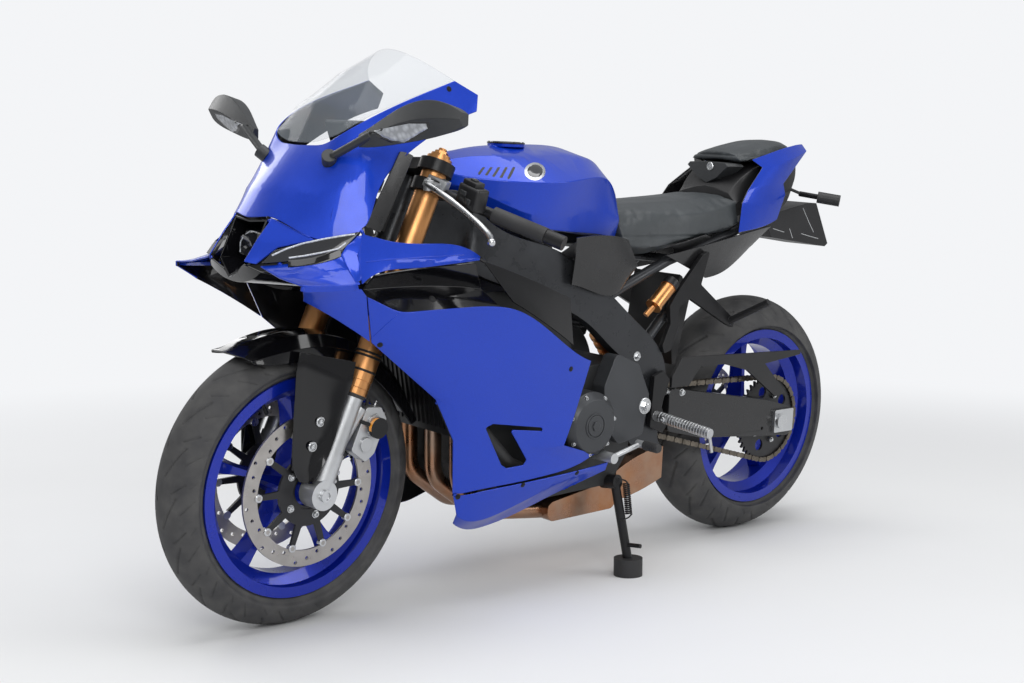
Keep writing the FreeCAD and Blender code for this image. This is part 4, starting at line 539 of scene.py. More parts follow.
# Screws by head radius and height, nuts by width across and height
DISC_BOLT = (6.4, 5.5)
REAR_BOLT = (6.0, 5.0)
SPROCKET_NUT = (15.0, 8.0)
CAP_NUT = (30.0, 8.0)
PINCH_BOLT = (4.6, 5.5)
AXLE_NUT = (27.0, 11.0)
CALIPER_BOLT = (7.0, 8.0)
CALIPER_SCREW = (4.4, 4.0)
NIPPLE_NUT = (9.0, 6.0)
GUARD_BOLT = (5.4, 5.0)
PANEL_BOLT = (4.6, 1.6)
PUSH_PIN = (6.2, 2.4)
FUEL_CAP_SCREW = (3.2, 2.2)
COVER_NUT = (24.0, 4.0)
COVER_BOLT_HEIGHT = 5.0
PEG_BOLT = (7.0, 6.0)


def add_piece(name, mesh, finish, body="chassis", slot=None, smooth=True):
    # Puts a mesh into the scene as a piece that rides on a body.
    mesh.materials.append(materials[finish])
    if smooth:
        mesh.shade_smooth()
    piece = placed(name, mesh)
    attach(piece, body)
    return piece


def make_piece(name, bm, *options, **named):
    # A piece from a shape that is built up in the script, its faces turned outward.
    mesh = bpy.data.meshes.new(name)
    bmesh.ops.recalc_face_normals(bm, faces=bm.faces)
    bm.to_mesh(mesh)
    bm.free()
    return add_piece(name, mesh, *options, **named)


def mesh_piece(name, places, faces, *options):
    # A piece from places and the faces over them.
    mesh = bpy.data.meshes.new(name)
    mesh.from_pydata(places, [], faces)
    mesh.update()
    return add_piece(name, mesh, *options)


def axes_for(way):
    way = way.normalized()
    helper = Vector((0, 0, 1)) if abs(way.z) < 0.9 else Vector((1, 0, 0))
    side = way.cross(helper).normalized()
    return way, side, way.cross(side).normalized()


def circle(centre, side, top, radius, sides, corners=0):
    # Places round a circle with its radius in millimetres, or round the polygon that fits in it.
    places = []
    for index in range(sides):
        turn = 2 * math.pi * index / sides
        reach = radius
        if corners:
            half = math.pi / corners
            reach *= math.cos(half) / math.cos(turn % (2 * half) - half)
        places.append(centre + (side * math.cos(turn) + top * math.sin(turn)) * reach * MM)
    return places


def join_rings(bm, rings):
    # A closed skin over rings of places.
    loops = [[bm.verts.new(place) for place in ring] for ring in rings]
    for low, high in zip(loops, loops[1:]):
        for corners in zip(low, low[1:] + low[:1], high[1:] + high[:1], high):
            bm.faces.new(corners)
    bm.faces.new(loops[0])
    bm.faces.new(loops[-1])


def add_turned(bm, start, way, profile, sides=24):
    # A turned part: profile of (distance along, radius) in mm, closed at both ends.
    way, side, top = axes_for(way)
    join_rings(bm, [circle(start + way * along * MM, side, top, radius, sides) for along, radius in profile])


def add_bolt(bm, place, way, radius, height, socket=True):
    # A button or cap screw: washer, rounded head and a hexagon socket.
    way, side, top = axes_for(way)
    washer = ((0, radius * 1.3), (1.6, radius * 1.3), (1.8, radius * 1.2))
    add_turned(bm, place - way * MM, way, washer, HEAD_SIDES)
    head = [(1.6, 1.0, 0), (height * 0.7, 1.0, 0), (height * 0.92, 0.9, 0), (height, 0.74, 0)]
    if socket:
        head += [(height, 0.5, 6), (height * 0.4, 0.5, 6)]
    join_rings(bm, [
        circle(place + way * along * MM, side, top, radius * share, HEAD_SIDES, corners)
        for along, share, corners in head])


def add_nut(bm, place, way, across, height):
    # A hexagon nut with a bevelled top.
    half = across / 2
    add_turned(bm, place, way, ((0, half), (height * 0.85, half), (height, half * 0.88)), sides=6)


def add_tube(bm, points, radius, roundness=2):
    # A round line through a list of places, smoothed by a spline.
    curve = bpy.data.curves.new("line", "CURVE")
    curve.dimensions = "3D"
    spline = curve.splines.new("NURBS")
    spline.points.add(len(points) - 1)
    for point, place in zip(spline.points, points):
        point.co = (*place, 1)
    spline.order_u = 3
    spline.use_endpoint_u = True
    spline.resolution_u = 8
    curve.bevel_depth = radius * MM
    curve.bevel_resolution = roundness
    curve.use_fill_caps = True
    holder = bpy.data.objects.new("line", curve)
    mesh = bpy.data.meshes.new_from_object(holder)
    bm.from_mesh(mesh)
    bpy.data.objects.remove(holder)
    bpy.data.curves.remove(curve)
    bpy.data.meshes.remove(mesh)


def add_box(bm, centre, axes, sizes, bevel):
    # A block with bevelled edges along three given directions.
    local = bmesh.new()
    bmesh.ops.create_cube(local, size=1.0)
    bmesh.ops.scale(local, vec=sizes, verts=local.verts)
    bmesh.ops.bevel(local, geom=local.edges[:], offset=bevel, segments=2, affect="EDGES", profile=0.7)
    for vert in local.verts:
        offset = axes[0] * vert.co.x + axes[1] * vert.co.y + axes[2] * vert.co.z
        vert.co = centre + offset * MM
    mesh = bpy.data.meshes.new("block")
    local.to_mesh(mesh)
    local.free()
    bm.from_mesh(mesh)
    bpy.data.meshes.remove(mesh)


# Tyres with tread

TREAD_DEPTH = 5.0
TREAD_EDGE = 0.97
GROOVE_WALL = 1.6
STROKE_SCALE = 90.0
AROUND = 840
CROWN_STEPS = 64
TYRE_FOOT = 216.5
BEAD_INSET = 6.5
# The bead's section: how far out from its flank and how far up from its foot
bead_section = ((0, 0), (0, 16), (1.5, 18), (4.0, 19), (5.5, 22), (5.0, 25))
WALL_OUT, WALL_UP = bead_section[-1]
wall_shares = (0.3, 0.5, 0.7, 0.85)
# Each stroke of the tread: start and end as shares of the pitch and of the crown's half, then its half width
front_strokes = (
    (0.02, 0.10, 0.62, 0.46, 1.9), (0.30, 0.56, 0.58, 0.90, 1.7), (0.72, 0.34, 0.92, 0.66, 1.6),
    (0.86, 0.78, 1.00, 0.92, 1.4),
)
rear_strokes = (
    (0.02, 0.14, 0.66, 0.44, 2.2), (0.28, 0.52, 0.60, 0.86, 2.0), (0.74, 0.40, 0.96, 0.70, 1.8),
    (0.82, 0.80, 1.00, 0.93, 1.6),
)


def groove_depth(arc, width_share, pitch, strokes):
    # How deep the tread is cut at a place: strokes are slanted lines with rounded ends.
    deepest = 0.0
    spot = (arc + (pitch / 2 if width_share > 0 else 0)) % pitch
    reach = abs(width_share)
    for start_arc, start_reach, end_arc, end_reach, wide in strokes:
        for turn in (-1, 0, 1):
            dx = (end_arc - start_arc) * pitch
            dy = (end_reach - start_reach) * STROKE_SCALE
            px = spot - (start_arc + turn) * pitch
            py = (reach - start_reach) * STROKE_SCALE
            along = max(0.0, min(1.0, (px * dx + py * dy) / (dx * dx + dy * dy)))
            away = math.hypot(px - dx * along, py - dy * along)
            deepest = max(deepest, min(1.0, (wide - away) / GROOVE_WALL))
    return deepest


def build_tyre(body, axle, way, radius, width, rim_width, pitches, strokes):
    # The tyre's section, from one bead over the crown to the other, cut by its tread.
    shoulder = radius - width * 0.40
    edge_turn = math.pi / 2 * 0.86
    bead = rim_width / 2 - BEAD_INSET
    half = width / 2
    side = [(bead + out, TYRE_FOOT + up, None) for out, up in bead_section]
    for share in wall_shares:
        reach = bead + WALL_OUT + (half - bead - WALL_OUT) * math.sin(share * math.pi / 2)
        side.append((reach, TYRE_FOOT + WALL_UP + (shoulder - TYRE_FOOT - WALL_UP) * share, None))
    section = list(side)
    for step in range(CROWN_STEPS + 1):
        share = 1 - 2 * step / CROWN_STEPS
        turn = share * edge_turn
        rise = (math.cos(turn) - math.cos(edge_turn)) / (1 - math.cos(edge_turn))
        across = half * math.sin(turn) / math.sin(edge_turn)
        section.append((across, shoulder + (radius - shoulder) * rise, share))
    section += [(-across, height, None) for across, height, _ in reversed(side)]
    pitch = 2 * math.pi * radius / pitches
    places = []
    for index in range(AROUND):
        turn = 2 * math.pi * index / AROUND
        for across, height, share in section:
            if share is not None and abs(share) < TREAD_EDGE:
                height -= TREAD_DEPTH * groove_depth(turn * radius, share, pitch, strokes)
            places.append(tread_place(axle, way, height, turn, across))
    faces = grid_faces(AROUND, len(section))
    node = body.replace("wheel", "tyre")
    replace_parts(mesh_piece(node + "_tread", places, faces, "tyre", body), node)


def grid_faces(rows, columns):
    # Faces over rows of places that close on themselves both ways.
    faces = []
    for row in range(rows):
        here = row * columns
        there = (row + 1) % rows * columns
        for step in range(columns):
            after = (step + 1) % columns
            faces.append((here + step, here + after, there + after, there + step))
    return faces


build_tyre("front_wheel", front_axle, front_way, FRONT_RADIUS, 120.0, 104.0, 18, front_strokes)
build_tyre("rear_wheel", rear_axle, rear_way, REAR_RADIUS, 180.0, 154.0, 16, rear_strokes)


# Seats

CLOTH_PRESSURE = 4.0
CLOTH_FRAMES = 20
SEAM_DEPTH = 1.6
SEAM_WIDTH = 2.2
ROLL_HEIGHT = 0.5
ROLL_AWAY = 6
ROLL_WIDTH = 4
RIDER_SEAM = at(400, 0, 806)
PILLION_SEAM = at(20, 0, 1000)


def cushion(name, node, voxel, cap, inset, seam):
    # The seat's CAD block, drawn in, remeshed, puffed up as cloth and sewn along its edge.
    mesh = frame["nodes"][node].data.copy()
    mesh.name = name
    pad = placed(name, mesh)
    work = bmesh.new()
    work.from_mesh(mesh)
    bmesh.ops.remove_doubles(work, verts=work.verts, dist=0.2 * MM)
    work.to_mesh(mesh)
    work.free()
    bpy.context.view_layer.objects.active = pad
    modify(pad, "REMESH", mode="VOXEL", voxel_size=voxel * MM)
    modify(pad, "SMOOTH", factor=0.5, iterations=6)
    modify(pad, "DISPLACE", strength=-inset * MM, mid_level=0.0)
    settle(pad)
    puff(pad, cap)
    modify(pad, "SUBSURF", levels=1, render_levels=1)
    settle(pad)
    # The seam: a narrow groove between two low rolls of the cover
    normals = [vert.normal.copy() for vert in pad.data.vertices]
    for vert, normal in zip(pad.data.vertices, normals):
        away = (vert.co - seam).dot(bike_up) / MM
        groove = SEAM_DEPTH * math.exp(-(away / SEAM_WIDTH) ** 2)
        roll = ROLL_HEIGHT * math.exp(-((abs(away) - ROLL_AWAY) / ROLL_WIDTH) ** 2)
        vert.co -= normal * (groove - roll) * MM
    pad.data.materials.clear()
    pad.data.materials.append(materials["vinyl"])
    pad.data.shade_smooth()
    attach(pad, "chassis")
    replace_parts(pad, node)


def settle(piece):
    # Puts what the modifiers make of a piece into its mesh.
    bpy.context.view_layer.update()
    shaped = bpy.data.meshes.new_from_object(piece.evaluated_get(bpy.context.evaluated_depsgraph_get()))
    piece.modifiers.clear()
    piece.data = shaped


def puff(piece, cap):
    # Cloth pressure for a few frames, no point moving further than the cap in millimetres.
    start = [vert.co.copy() for vert in piece.data.vertices]
    cloth = modify(piece, "CLOTH").settings
    cloth.use_pressure = True
    cloth.uniform_pressure_force = CLOTH_PRESSURE
    cloth.effector_weights.gravity = 0.0
    for step in range(CLOTH_FRAMES):
        scene.frame_set(step + 1)
    moved = piece.evaluated_get(bpy.context.evaluated_depsgraph_get()).data
    puffed = [vert.co.copy() for vert in moved.vertices]
    piece.modifiers.clear()
    scene.frame_set(1)
    for vert, low, high in zip(piece.data.vertices, start, puffed):
        move = high - low
        if move.length > cap * MM:
            move *= cap * MM / move.length
        vert.co = low + move


cushion("rider_seat_cover", "rider_seat", 6.0, 5.0, 3.5, RIDER_SEAM)
cushion("pillion_seat_cover", "pillion_seat", 4.0, 3.5, 2.5, PILLION_SEAM)


# Chain links

CHAIN_PITCH = 15.875
CHAIN_PLANE = 104.0
REAR_TEETH = 44
FRONT_TEETH = 16
REAR_SPROCKET = (0.0, REAR_RADIUS)
FRONT_SPROCKET = (590.0, 400.0)
PLATE_END = 7.0
PLATE_WAIST = 5.2
END_STEPS = 6
inner_plate = (4.6, 6.3)
outer_plate = (6.9, 8.4)
PIN_REACH = 8.9
ROLLER_REACH = 4.4
pin_profile = ((0, 2.2), (0.5, 2.7), (17.3, 2.7), (17.8, 2.2))
roller_profile = ((0, 5.0), (8.8, 5.0))


def on_sprocket(centre, radius, turn, run=0.0):
    # A point on a sprocket's pitch circle, or further along the chain that leaves it there.
    x = centre[0] + radius * math.cos(turn) + run * math.sin(turn)
    return x, centre[1] + radius * math.sin(turn) - run * math.cos(turn)


def chain_pins():
    # The pins' places around both sprockets in the bike's side view.
    rear_radius = CHAIN_PITCH / 2 / math.sin(math.pi / REAR_TEETH)
    front_radius = CHAIN_PITCH / 2 / math.sin(math.pi / FRONT_TEETH)
    span = math.dist(REAR_SPROCKET, FRONT_SPROCKET)
    lie = math.atan2(FRONT_SPROCKET[1] - REAR_SPROCKET[1], FRONT_SPROCKET[0] - REAR_SPROCKET[0])
    open_turn = math.acos((rear_radius - front_radius) / span)
    run = math.sqrt(span ** 2 - (rear_radius - front_radius) ** 2)
    front_arc = 2 * open_turn * front_radius
    total = 2 * run + front_arc + 2 * (math.pi - open_turn) * rear_radius
    count = 2 * round(total / CHAIN_PITCH / 2)
    pins = []
    for index in range(count):
        way = total * index / count
        past_front = way - run - front_arc
        if way < run:
            pins.append(on_sprocket(REAR_SPROCKET, rear_radius, lie + open_turn, way))
        elif past_front < 0:
            turn = lie + open_turn - (way - run) / front_radius
            pins.append(on_sprocket(FRONT_SPROCKET, front_radius, turn))
        elif past_front < run:
            pins.append(on_sprocket(FRONT_SPROCKET, front_radius, lie - open_turn, past_front))
        else:
            turn = lie - open_turn - (past_front - run) / rear_radius
            pins.append(on_sprocket(REAR_SPROCKET, rear_radius, turn))
    return pins


def add_plate(bm, first, second, low, high):
    # A link plate with round ends and a narrow waist.
    lie = math.atan2(second[1] - first[1], second[0] - first[0])
    outline = []
    for (x, z), start, waist_turn in ((second, -0.40, math.pi / 2), (first, 0.60, -math.pi / 2)):
        for step in range(END_STEPS + 1):
            turn = lie + math.pi * (start + 0.80 * step / END_STEPS)
            outline.append((x + PLATE_END * math.cos(turn), z + PLATE_END * math.sin(turn)))
        middle = lie + waist_turn
        outline.append((
            (first[0] + second[0]) / 2 + PLATE_WAIST * math.cos(middle),
            (first[1] + second[1]) / 2 + PLATE_WAIST * math.sin(middle),
        ))
    join_rings(bm, [[at(x, left, z) for x, z in outline] for left in (low, high)])


def build_chain():
    pins = chain_pins()
    bm = bmesh.new()
    for index, pin in enumerate(pins):
        after = pins[(index + 1) % len(pins)]
        inner, outer = outer_plate if index % 2 else inner_plate
        for side in (-1, 1):
            add_plate(bm, pin, after, *sorted((CHAIN_PLANE + side * inner, CHAIN_PLANE + side * outer)))
        add_turned(bm, at(pin[0], CHAIN_PLANE - PIN_REACH, pin[1]), bike_left, pin_profile, sides=10)
        add_turned(bm, at(pin[0], CHAIN_PLANE - ROLLER_REACH, pin[1]), bike_left, roller_profile, sides=12)
    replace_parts(make_piece("chain_links", bm, "chain", smooth=False), "chain")


build_chain()


# Places found by a pixel of the photo, and pieces laid on the surface there

LONGEST_FACE = 60.0
LINE_GAP = 3.0
skins = {}


def skin(names):
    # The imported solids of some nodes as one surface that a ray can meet.
    if names not in skins:
        places = []
        faces = []
        for name in names:
            holder = frame["nodes"][name]
            start = len(places)
            places += [holder.matrix_world @ vert.co for vert in holder.data.vertices]
            faces += [[start + index for index in face.vertices] for face in holder.data.polygons]
        skins[names] = BVHTree.FromPolygons(places, faces)
    return skins[names]


def ray_at(pixel):
    across = (pixel[0] - PHOTO_WIDTH / 2) / FOCAL_PIXELS
    down = (pixel[1] - PHOTO_HEIGHT / 2) / FOCAL_PIXELS
    return (ahead_view + right_view * across - up_view * down).normalized()


def seen(pixel, names):
    # The place and the outward way where the camera's ray through a pixel meets the nodes.
    way = ray_at(pixel)
    spot, normal, _, _ = skin(names).ray_cast(camera_place, way)
    if spot is None:
        return None
    return spot, normal if normal.dot(way) < 0 else -normal


def on_layer(pixel, left):
    # Where the ray through a pixel meets a plane that stands left of the front wheel's middle.
    ray = ray_at(pixel)
    spot = front_axle + front_way * left * MM
    return camera_place + ray * ((spot - camera_place).dot(front_way) / ray.dot(front_way))


def inside(point, outline):
    crossed = False
    for (ax, ay), (bx, by) in zip(outline, outline[1:] + outline[:1]):
        if (ay > point[1]) != (by > point[1]) and point[0] < (bx - ax) * (point[1] - ay) / (by - ay) + ax:
            crossed = not crossed
    return crossed


def border_distance(point, outline):
    distances = []
    for start, end in zip(outline, outline[1:] + outline[:1]):
        away = Vector(point) - Vector(start)
        along = Vector(end) - Vector(start)
        share = max(0.0, min(1.0, away.dot(along) / along.length_squared))
        distances.append((away - along * share).length)
    return min(distances)


def spaced(pixels, gap):
    # Points about a gap apart along a path of pixels, without its last one.
    points = []
    for start, end in zip(pixels, pixels[1:]):
        count = max(1, round(math.dist(start, end) / gap))
        for index in range(count):
            points.append(tuple(low + (high - low) * index / count for low, high in zip(start, end)))
    return points


def lay_cover(bm, outline, names, step, lift, sink):
    # A domed cover on both sides of the bike, laid on a surface inside an outline of pixels, with its
    # middle lifted off the surface and its edge sunk in.
    border = spaced(outline + outline[:1], step)
    points = list(border)
    low_x, high_x = [pick(x for x, _ in outline) for pick in (min, max)]
    low_y, high_y = [pick(y for _, y in outline) for pick in (min, max)]
    for row in range(int((high_y - low_y) / step) + 1):
        for column in range(int((high_x - low_x) / step) + 1):
            point = (low_x + (column + 0.5 * (row % 2)) * step, low_y + row * step)
            if inside(point, outline) and border_distance(point, outline) > step * 0.5:
                points.append(point)
    ring = list(range(len(border)))
    edges = list(zip(ring, ring[1:] + ring[:1]))
    flat = geometry.delaunay_2d_cdt([Vector(point) for point in points], edges, [ring], 1, 0.0001)
    for turn in (same_side, other_side):
        verts = []
        for point in flat[0]:
            met = seen(point, names)
            if met:
                rise = min(1.0, border_distance(point, outline) / (step * 1.2))
                met = bm.verts.new(turn(met[0] + met[1] * (lift * rise - sink * (1 - rise)) * MM))
            verts.append(met)
        for face in flat[2]:
            corners = [verts[index] for index in face]
            if None not in corners:
                sides = [(a.co - b.co).length for a, b in zip(corners, corners[1:] + corners[:1])]
                if max(sides) < LONGEST_FACE * MM:
                    bm.faces.new(corners)


def lay_line(bm, pixels, names, radius, lift, turns=(same_side, other_side)):
    # A round line that follows a surface along a path of pixels.
    met = [seen(pixel, names) for pixel in spaced(pixels, LINE_GAP) + [pixels[-1]]]
    places = [found[0] + found[1] * lift * MM for found in met if found]
    if len(places) > 2:
        for turn in turns:
            add_tube(bm, [turn(place) for place in places], radius)


def set_bolts(bm, pixels, names, radius, height, sink=0.0, socket=True):
    # Screws on both sides of the bike, one at each pixel.
    for met in [seen(pixel, names) for pixel in pixels]:
        if met:
            place, way = met
            place = place - way * sink * MM
            add_bolt(bm, place, way, radius, height, socket)
            add_bolt(bm, other_side(place), other_way(way), radius, height, socket)


def sheet_piece(name, rows, thickness, finish, body, mirror):
    # A thin panel through rows of places and its mirror image, with an even thickness and rounded edges.
    places = []
    faces = []
    wide = len(rows[0])
    for turn in (same_side, mirror):
        start = len(places)
        places += [turn(place) for row in rows for place in row]
        for line in range(len(rows) - 1):
            for column in range(wide - 1):
                corner = start + line * wide + column
                faces.append((corner, corner + 1, corner + wide + 1, corner + wide))
    piece = mesh_piece(name, places, faces, finish, body)
    modify(piece, "SOLIDIFY", thickness=thickness * MM, offset=0.0)
    modify(piece, "BEVEL", width=0.7 * MM, segments=2, limit_method="ANGLE", angle_limit=math.radians(40))


# Wheels and discs

BOBBINS = 10
DISC_BOLTS = 5
DISC_PLANE = 73.0
BOBBIN_RING = 123.5
CARRIER_EDGE = 122.5
REAR_CARRIER_EDGE = 81.0
DISC_BOLT_RING = 56.0
DISC_BOLT_PLANE = 76.0
REAR_BOLT_RING = 46.0
REAR_BOLT_PLANE = -103.0
SPROCKET_RING = 62.0
SPROCKET_PLANE = 107.0
VALVE_RING = 205.0
VALVE_PLANE = 22.0
VALVE_LEAN = 30.0
VALVE_TURN = 0.18
bobbin_profile = ((-5.5, 8.6), (4.6, 8.6), (5.4, 7.8), (5.4, 4.6), (3.6, 4.2), (3.6, 0.6))
stud_profile = ((0, 4.6), (10.5, 4.6), (11.2, 3.8))
valve_profile = ((0, 5.0), (6, 4.2), (20, 3.6), (21, 4.4), (32, 4.4), (33, 3.4))


def build_wheel_metal():
    front = bmesh.new()
    for side in (-1, 1):
        out = front_way * side
        for place in wheel_places(front_axle, front_way, BOBBINS, 0, BOBBIN_RING, side * DISC_PLANE):
            add_turned(front, place, out, bobbin_profile, sides=20)
        plane = side * DISC_BOLT_PLANE
        for place in wheel_places(front_axle, front_way, DISC_BOLTS, 0.5, DISC_BOLT_RING, plane):
            add_bolt(front, place, out, *DISC_BOLT)
    make_piece("front_disc_bobbins", front, "silver", "front_wheel", "disc_steel", smooth=False)
    rear = bmesh.new()
    for place in wheel_places(rear_axle, rear_way, DISC_BOLTS, 0.5, REAR_BOLT_RING, REAR_BOLT_PLANE):
        add_bolt(rear, place, -rear_way, *REAR_BOLT)
    for place in wheel_places(rear_axle, rear_way, DISC_BOLTS, 0.5, SPROCKET_RING, SPROCKET_PLANE):
        add_nut(rear, place, rear_way, *SPROCKET_NUT)
        add_turned(rear, place, rear_way, stud_profile, sides=12)
    make_piece("rear_hub_bolts", rear, "silver", "rear_wheel", "disc_steel", smooth=False)
    for axle, way, body in ((front_axle, front_way, "front_wheel"), (rear_axle, rear_way, "rear_wheel")):
        valve = bmesh.new()
        root = wheel_places(axle, way, 1, VALVE_TURN, VALVE_RING, VALVE_PLANE)[0]
        out = (axle - root + way * VALVE_LEAN * MM).normalized()
        add_turned(valve, root, out, valve_profile, sides=14)
        make_piece(body + "_valve", valve, "black_metal", body, smooth=False)


build_wheel_metal()
paint_faces("front_discs", "carrier_black", lambda co: from_axle(co, front_axle, front_way) < CARRIER_EDGE)
paint_faces("rear_disc", "carrier_black", lambda co: from_axle(co, rear_axle, rear_way) < REAR_CARRIER_EDGE)


# Fork and front calipers

BAND_HEIGHTS = (262.0, 292.0, 300.0)
CAP_HEIGHT = 742.0
PINCH_HEIGHTS = (52.0, 34.0)
PINCH_BEHIND = 28.0
AXLE_NUT_OUT = 122.0
SLEEVE_FOOT = 214.0
CALIPER_HEIGHT = 150.0
CALIPER_BEHIND = 66.0
CALIPER_LEG = 96.0
CALIPER_FACE = 115.0
CALIPER_BACK = 26.0
CALIPER_BOLT_RISES = (-50.0, 50.0)
CALIPER_SCREW_RISES = (-38.0, 0.0, 38.0)
NIPPLE = (206.0, -70.0)
NIPPLE_SINK = 4
band_profile = ((0, 27.3), (0.6, 28.4), (4.4, 28.4), (5.0, 27.3))
cap_profile = ((8, 9.0), (13, 9.0), (14, 8.0))
sleeve_profile = (
    (0, 24.6), (1, 25.4), (13, 25.4), (14, 24.8), (15, 25.4), (30, 25.4), (31, 26.6), (53, 26.8), (54, 26.8))
seal_profile = ((-7, 22.6), (-6, 24.2), (-1, 24.6), (0, 24.6))
nipple_profile = ((0, 3.0), (8, 3.0), (9, 2.2), (12, 3.2), (13, 2.4))


def build_fork_metal():
    # The fork's bands, sleeves, dust seals, caps with adjusters, pinch bolts and axle nuts.
    bands, sleeves, seals, caps, bolts = [bmesh.new() for _ in range(5)]
    for side in (-1, 1):
        for height in BAND_HEIGHTS:
            add_turned(bands, fork_at(height, 0.0, side * FORK_LEG), fork_up, band_profile, sides=32)
        foot = fork_at(SLEEVE_FOOT, 0.0, side * FORK_LEG)
        add_turned(sleeves, foot, fork_up, sleeve_profile, sides=36)
        add_turned(seals, foot, fork_up, seal_profile, sides=36)
        top = fork_at(CAP_HEIGHT, 0.0, side * FORK_LEG)
        add_nut(caps, top, fork_up, *CAP_NUT)
        add_turned(caps, top, fork_up, cap_profile, sides=20)
        for height in PINCH_HEIGHTS:
            add_bolt(bolts, fork_at(height, -PINCH_BEHIND, side * FORK_LEG), -fork_ahead, *PINCH_BOLT)
        out = fork_outward(side)
        add_nut(bolts, front_axle + out * AXLE_NUT_OUT * MM, out, *AXLE_NUT)
    make_piece("fork_bands", bands, "black_metal", "steering", smooth=False)
    make_piece("fork_caps", caps, "gold", "steering", smooth=False)
    make_piece("fork_bolts", bolts, "silver", "steering", smooth=False)
    make_piece("fork_sleeves", sleeves, "gold", "steering", smooth=False)
    make_piece("fork_seals", seals, "rubber", "steering", smooth=False)


def build_caliper_bolts():
    bm = bmesh.new()
    for side in (-1, 1):
        for rise in CALIPER_BOLT_RISES:
            head = fork_at(CALIPER_HEIGHT + rise, -CALIPER_BEHIND - CALIPER_BACK, side * CALIPER_LEG)
            add_bolt(bm, head, -fork_ahead, *CALIPER_BOLT)
        out = fork_outward(side)
        for rise in CALIPER_SCREW_RISES:
            face = fork_at(CALIPER_HEIGHT + rise, -CALIPER_BEHIND, side * CALIPER_FACE)
            add_bolt(bm, face - out * MM, out, *CALIPER_SCREW)
        nipple = fork_at(*NIPPLE, side * CALIPER_LEG)
        add_nut(bm, nipple - fork_up * NIPPLE_SINK * MM, fork_up, *NIPPLE_NUT)
        add_turned(bm, nipple, fork_up, nipple_profile, sides=12)
    make_piece("caliper_bolts", bm, "silver", "steering", smooth=False)


build_fork_metal()
build_caliper_bolts()


# The guards beside the fork's feet, as pixels of their front and rear edges

guard_rows = (
    ((300, 352), (356, 362)), ((296, 372), (352, 384)), ((295, 392), (345, 402)), ((294, 412), (340, 420)),
    ((293, 432), (335, 438)), ((292, 452), (329, 455)), ((292, 468), (321, 471)), ((299, 482), (313, 484)),
)
guard_bolt_pixels = ((321, 422), (313, 447))
guard_cup_profile = ((0, 10.5), (3.6, 10.5), (4.4, 9.4), (4.4, 7.6), (2.0, 7.0), (2.0, 0.5))
GUARD_FRONT = 90.0
GUARD_REAR = 122.0
GUARD_BOLT_LAYER = 108.0
GUARD_COLUMNS = 8
GUARD_THICKNESS = 3.0
GUARD_CUP_SINK = 4
GUARD_BOLT_SINK = 2
GUARD_FLARE = 1.6


def build_guards():
    rows = []
    for first, last in guard_rows:
        row = []
        for share in [index / GUARD_COLUMNS for index in range(GUARD_COLUMNS + 1)]:
            pixel = tuple(low + (high - low) * share for low, high in zip(first, last))
            row.append(on_layer(pixel, GUARD_FRONT + (GUARD_REAR - GUARD_FRONT) * share ** GUARD_FLARE))
        rows.append(row)
    sheet_piece("fork_guards", rows, GUARD_THICKNESS, "gloss_black", "steering", steered_side)
    bm = bmesh.new()
    for place in [on_layer(pixel, GUARD_BOLT_LAYER) for pixel in guard_bolt_pixels]:
        for turn in (same_side, steered_side):
            here = turn(place)
            way = (here - turn(place - front_way * MM)).normalized()
            add_turned(bm, here - way * GUARD_CUP_SINK * MM, way, guard_cup_profile)
            add_bolt(bm, here - way * GUARD_BOLT_SINK * MM, way, *GUARD_BOLT)
    make_piece("fork_guard_bolts", bm, "silver", "steering", smooth=False)


build_guards()


# Levers, switches and the brake's reservoir at the bars

lever_path = (
    (1192, 138, 926), (1180, 175, 908), (1164, 215, 884), (1152, 250, 860), (1150, 280, 842),
    (1156, 310, 828), (1169, 326, 821),
)
LEVER_RADIUS = 6.6
BALL_RADIUS = 8.4
BALL_STEPS = 8
PERCH_CLAMP = (1152, 128, 925)
PERCH_TOWARDS = (1110, 200, 890)
LEVER_PIVOT = (1186, 140, 922)
PERCH_BLOCK = ((44, 30, 26), 4.0)
PERCH_LINK = ((30, 46, 15), 3.0)
PIVOT_SINK = 11
pivot_profile = ((0, 9.5), (1, 10.5), (21, 10.5), (22, 9.5), (22, 5), (26, 4.6), (27, 3.6))
SWITCH_INNER = (1150, 182, 909)
SWITCH_OUTER = (1140, 267, 885)
SWITCH_SHARE = 0.46
SWITCH_RISE = 4
SWITCH_BACK = 9
RESERVOIR = (1172, 168, 925)
reservoir_profile = ((-12, 7), (0, 8), (2, 17), (34, 18), (35, 19.5), (43, 19.5), (45, 17), (45, 5))
# Each block or knob: its shift along the bar, ahead and up from the middle, its three sizes and its bevel
switch_blocks = (((0, 0, 0), (58, 34, 50), 7.0), ((-4, 0, 28), (38, 26, 14), 3.0))
switch_buttons = (
    ((-10, 17, 8), (17, 7, 9), 1.8), ((8, 17, -6), (12, 7, 12), 1.8), ((-4, 0, 36), (14, 12, 5), 1.4),
)


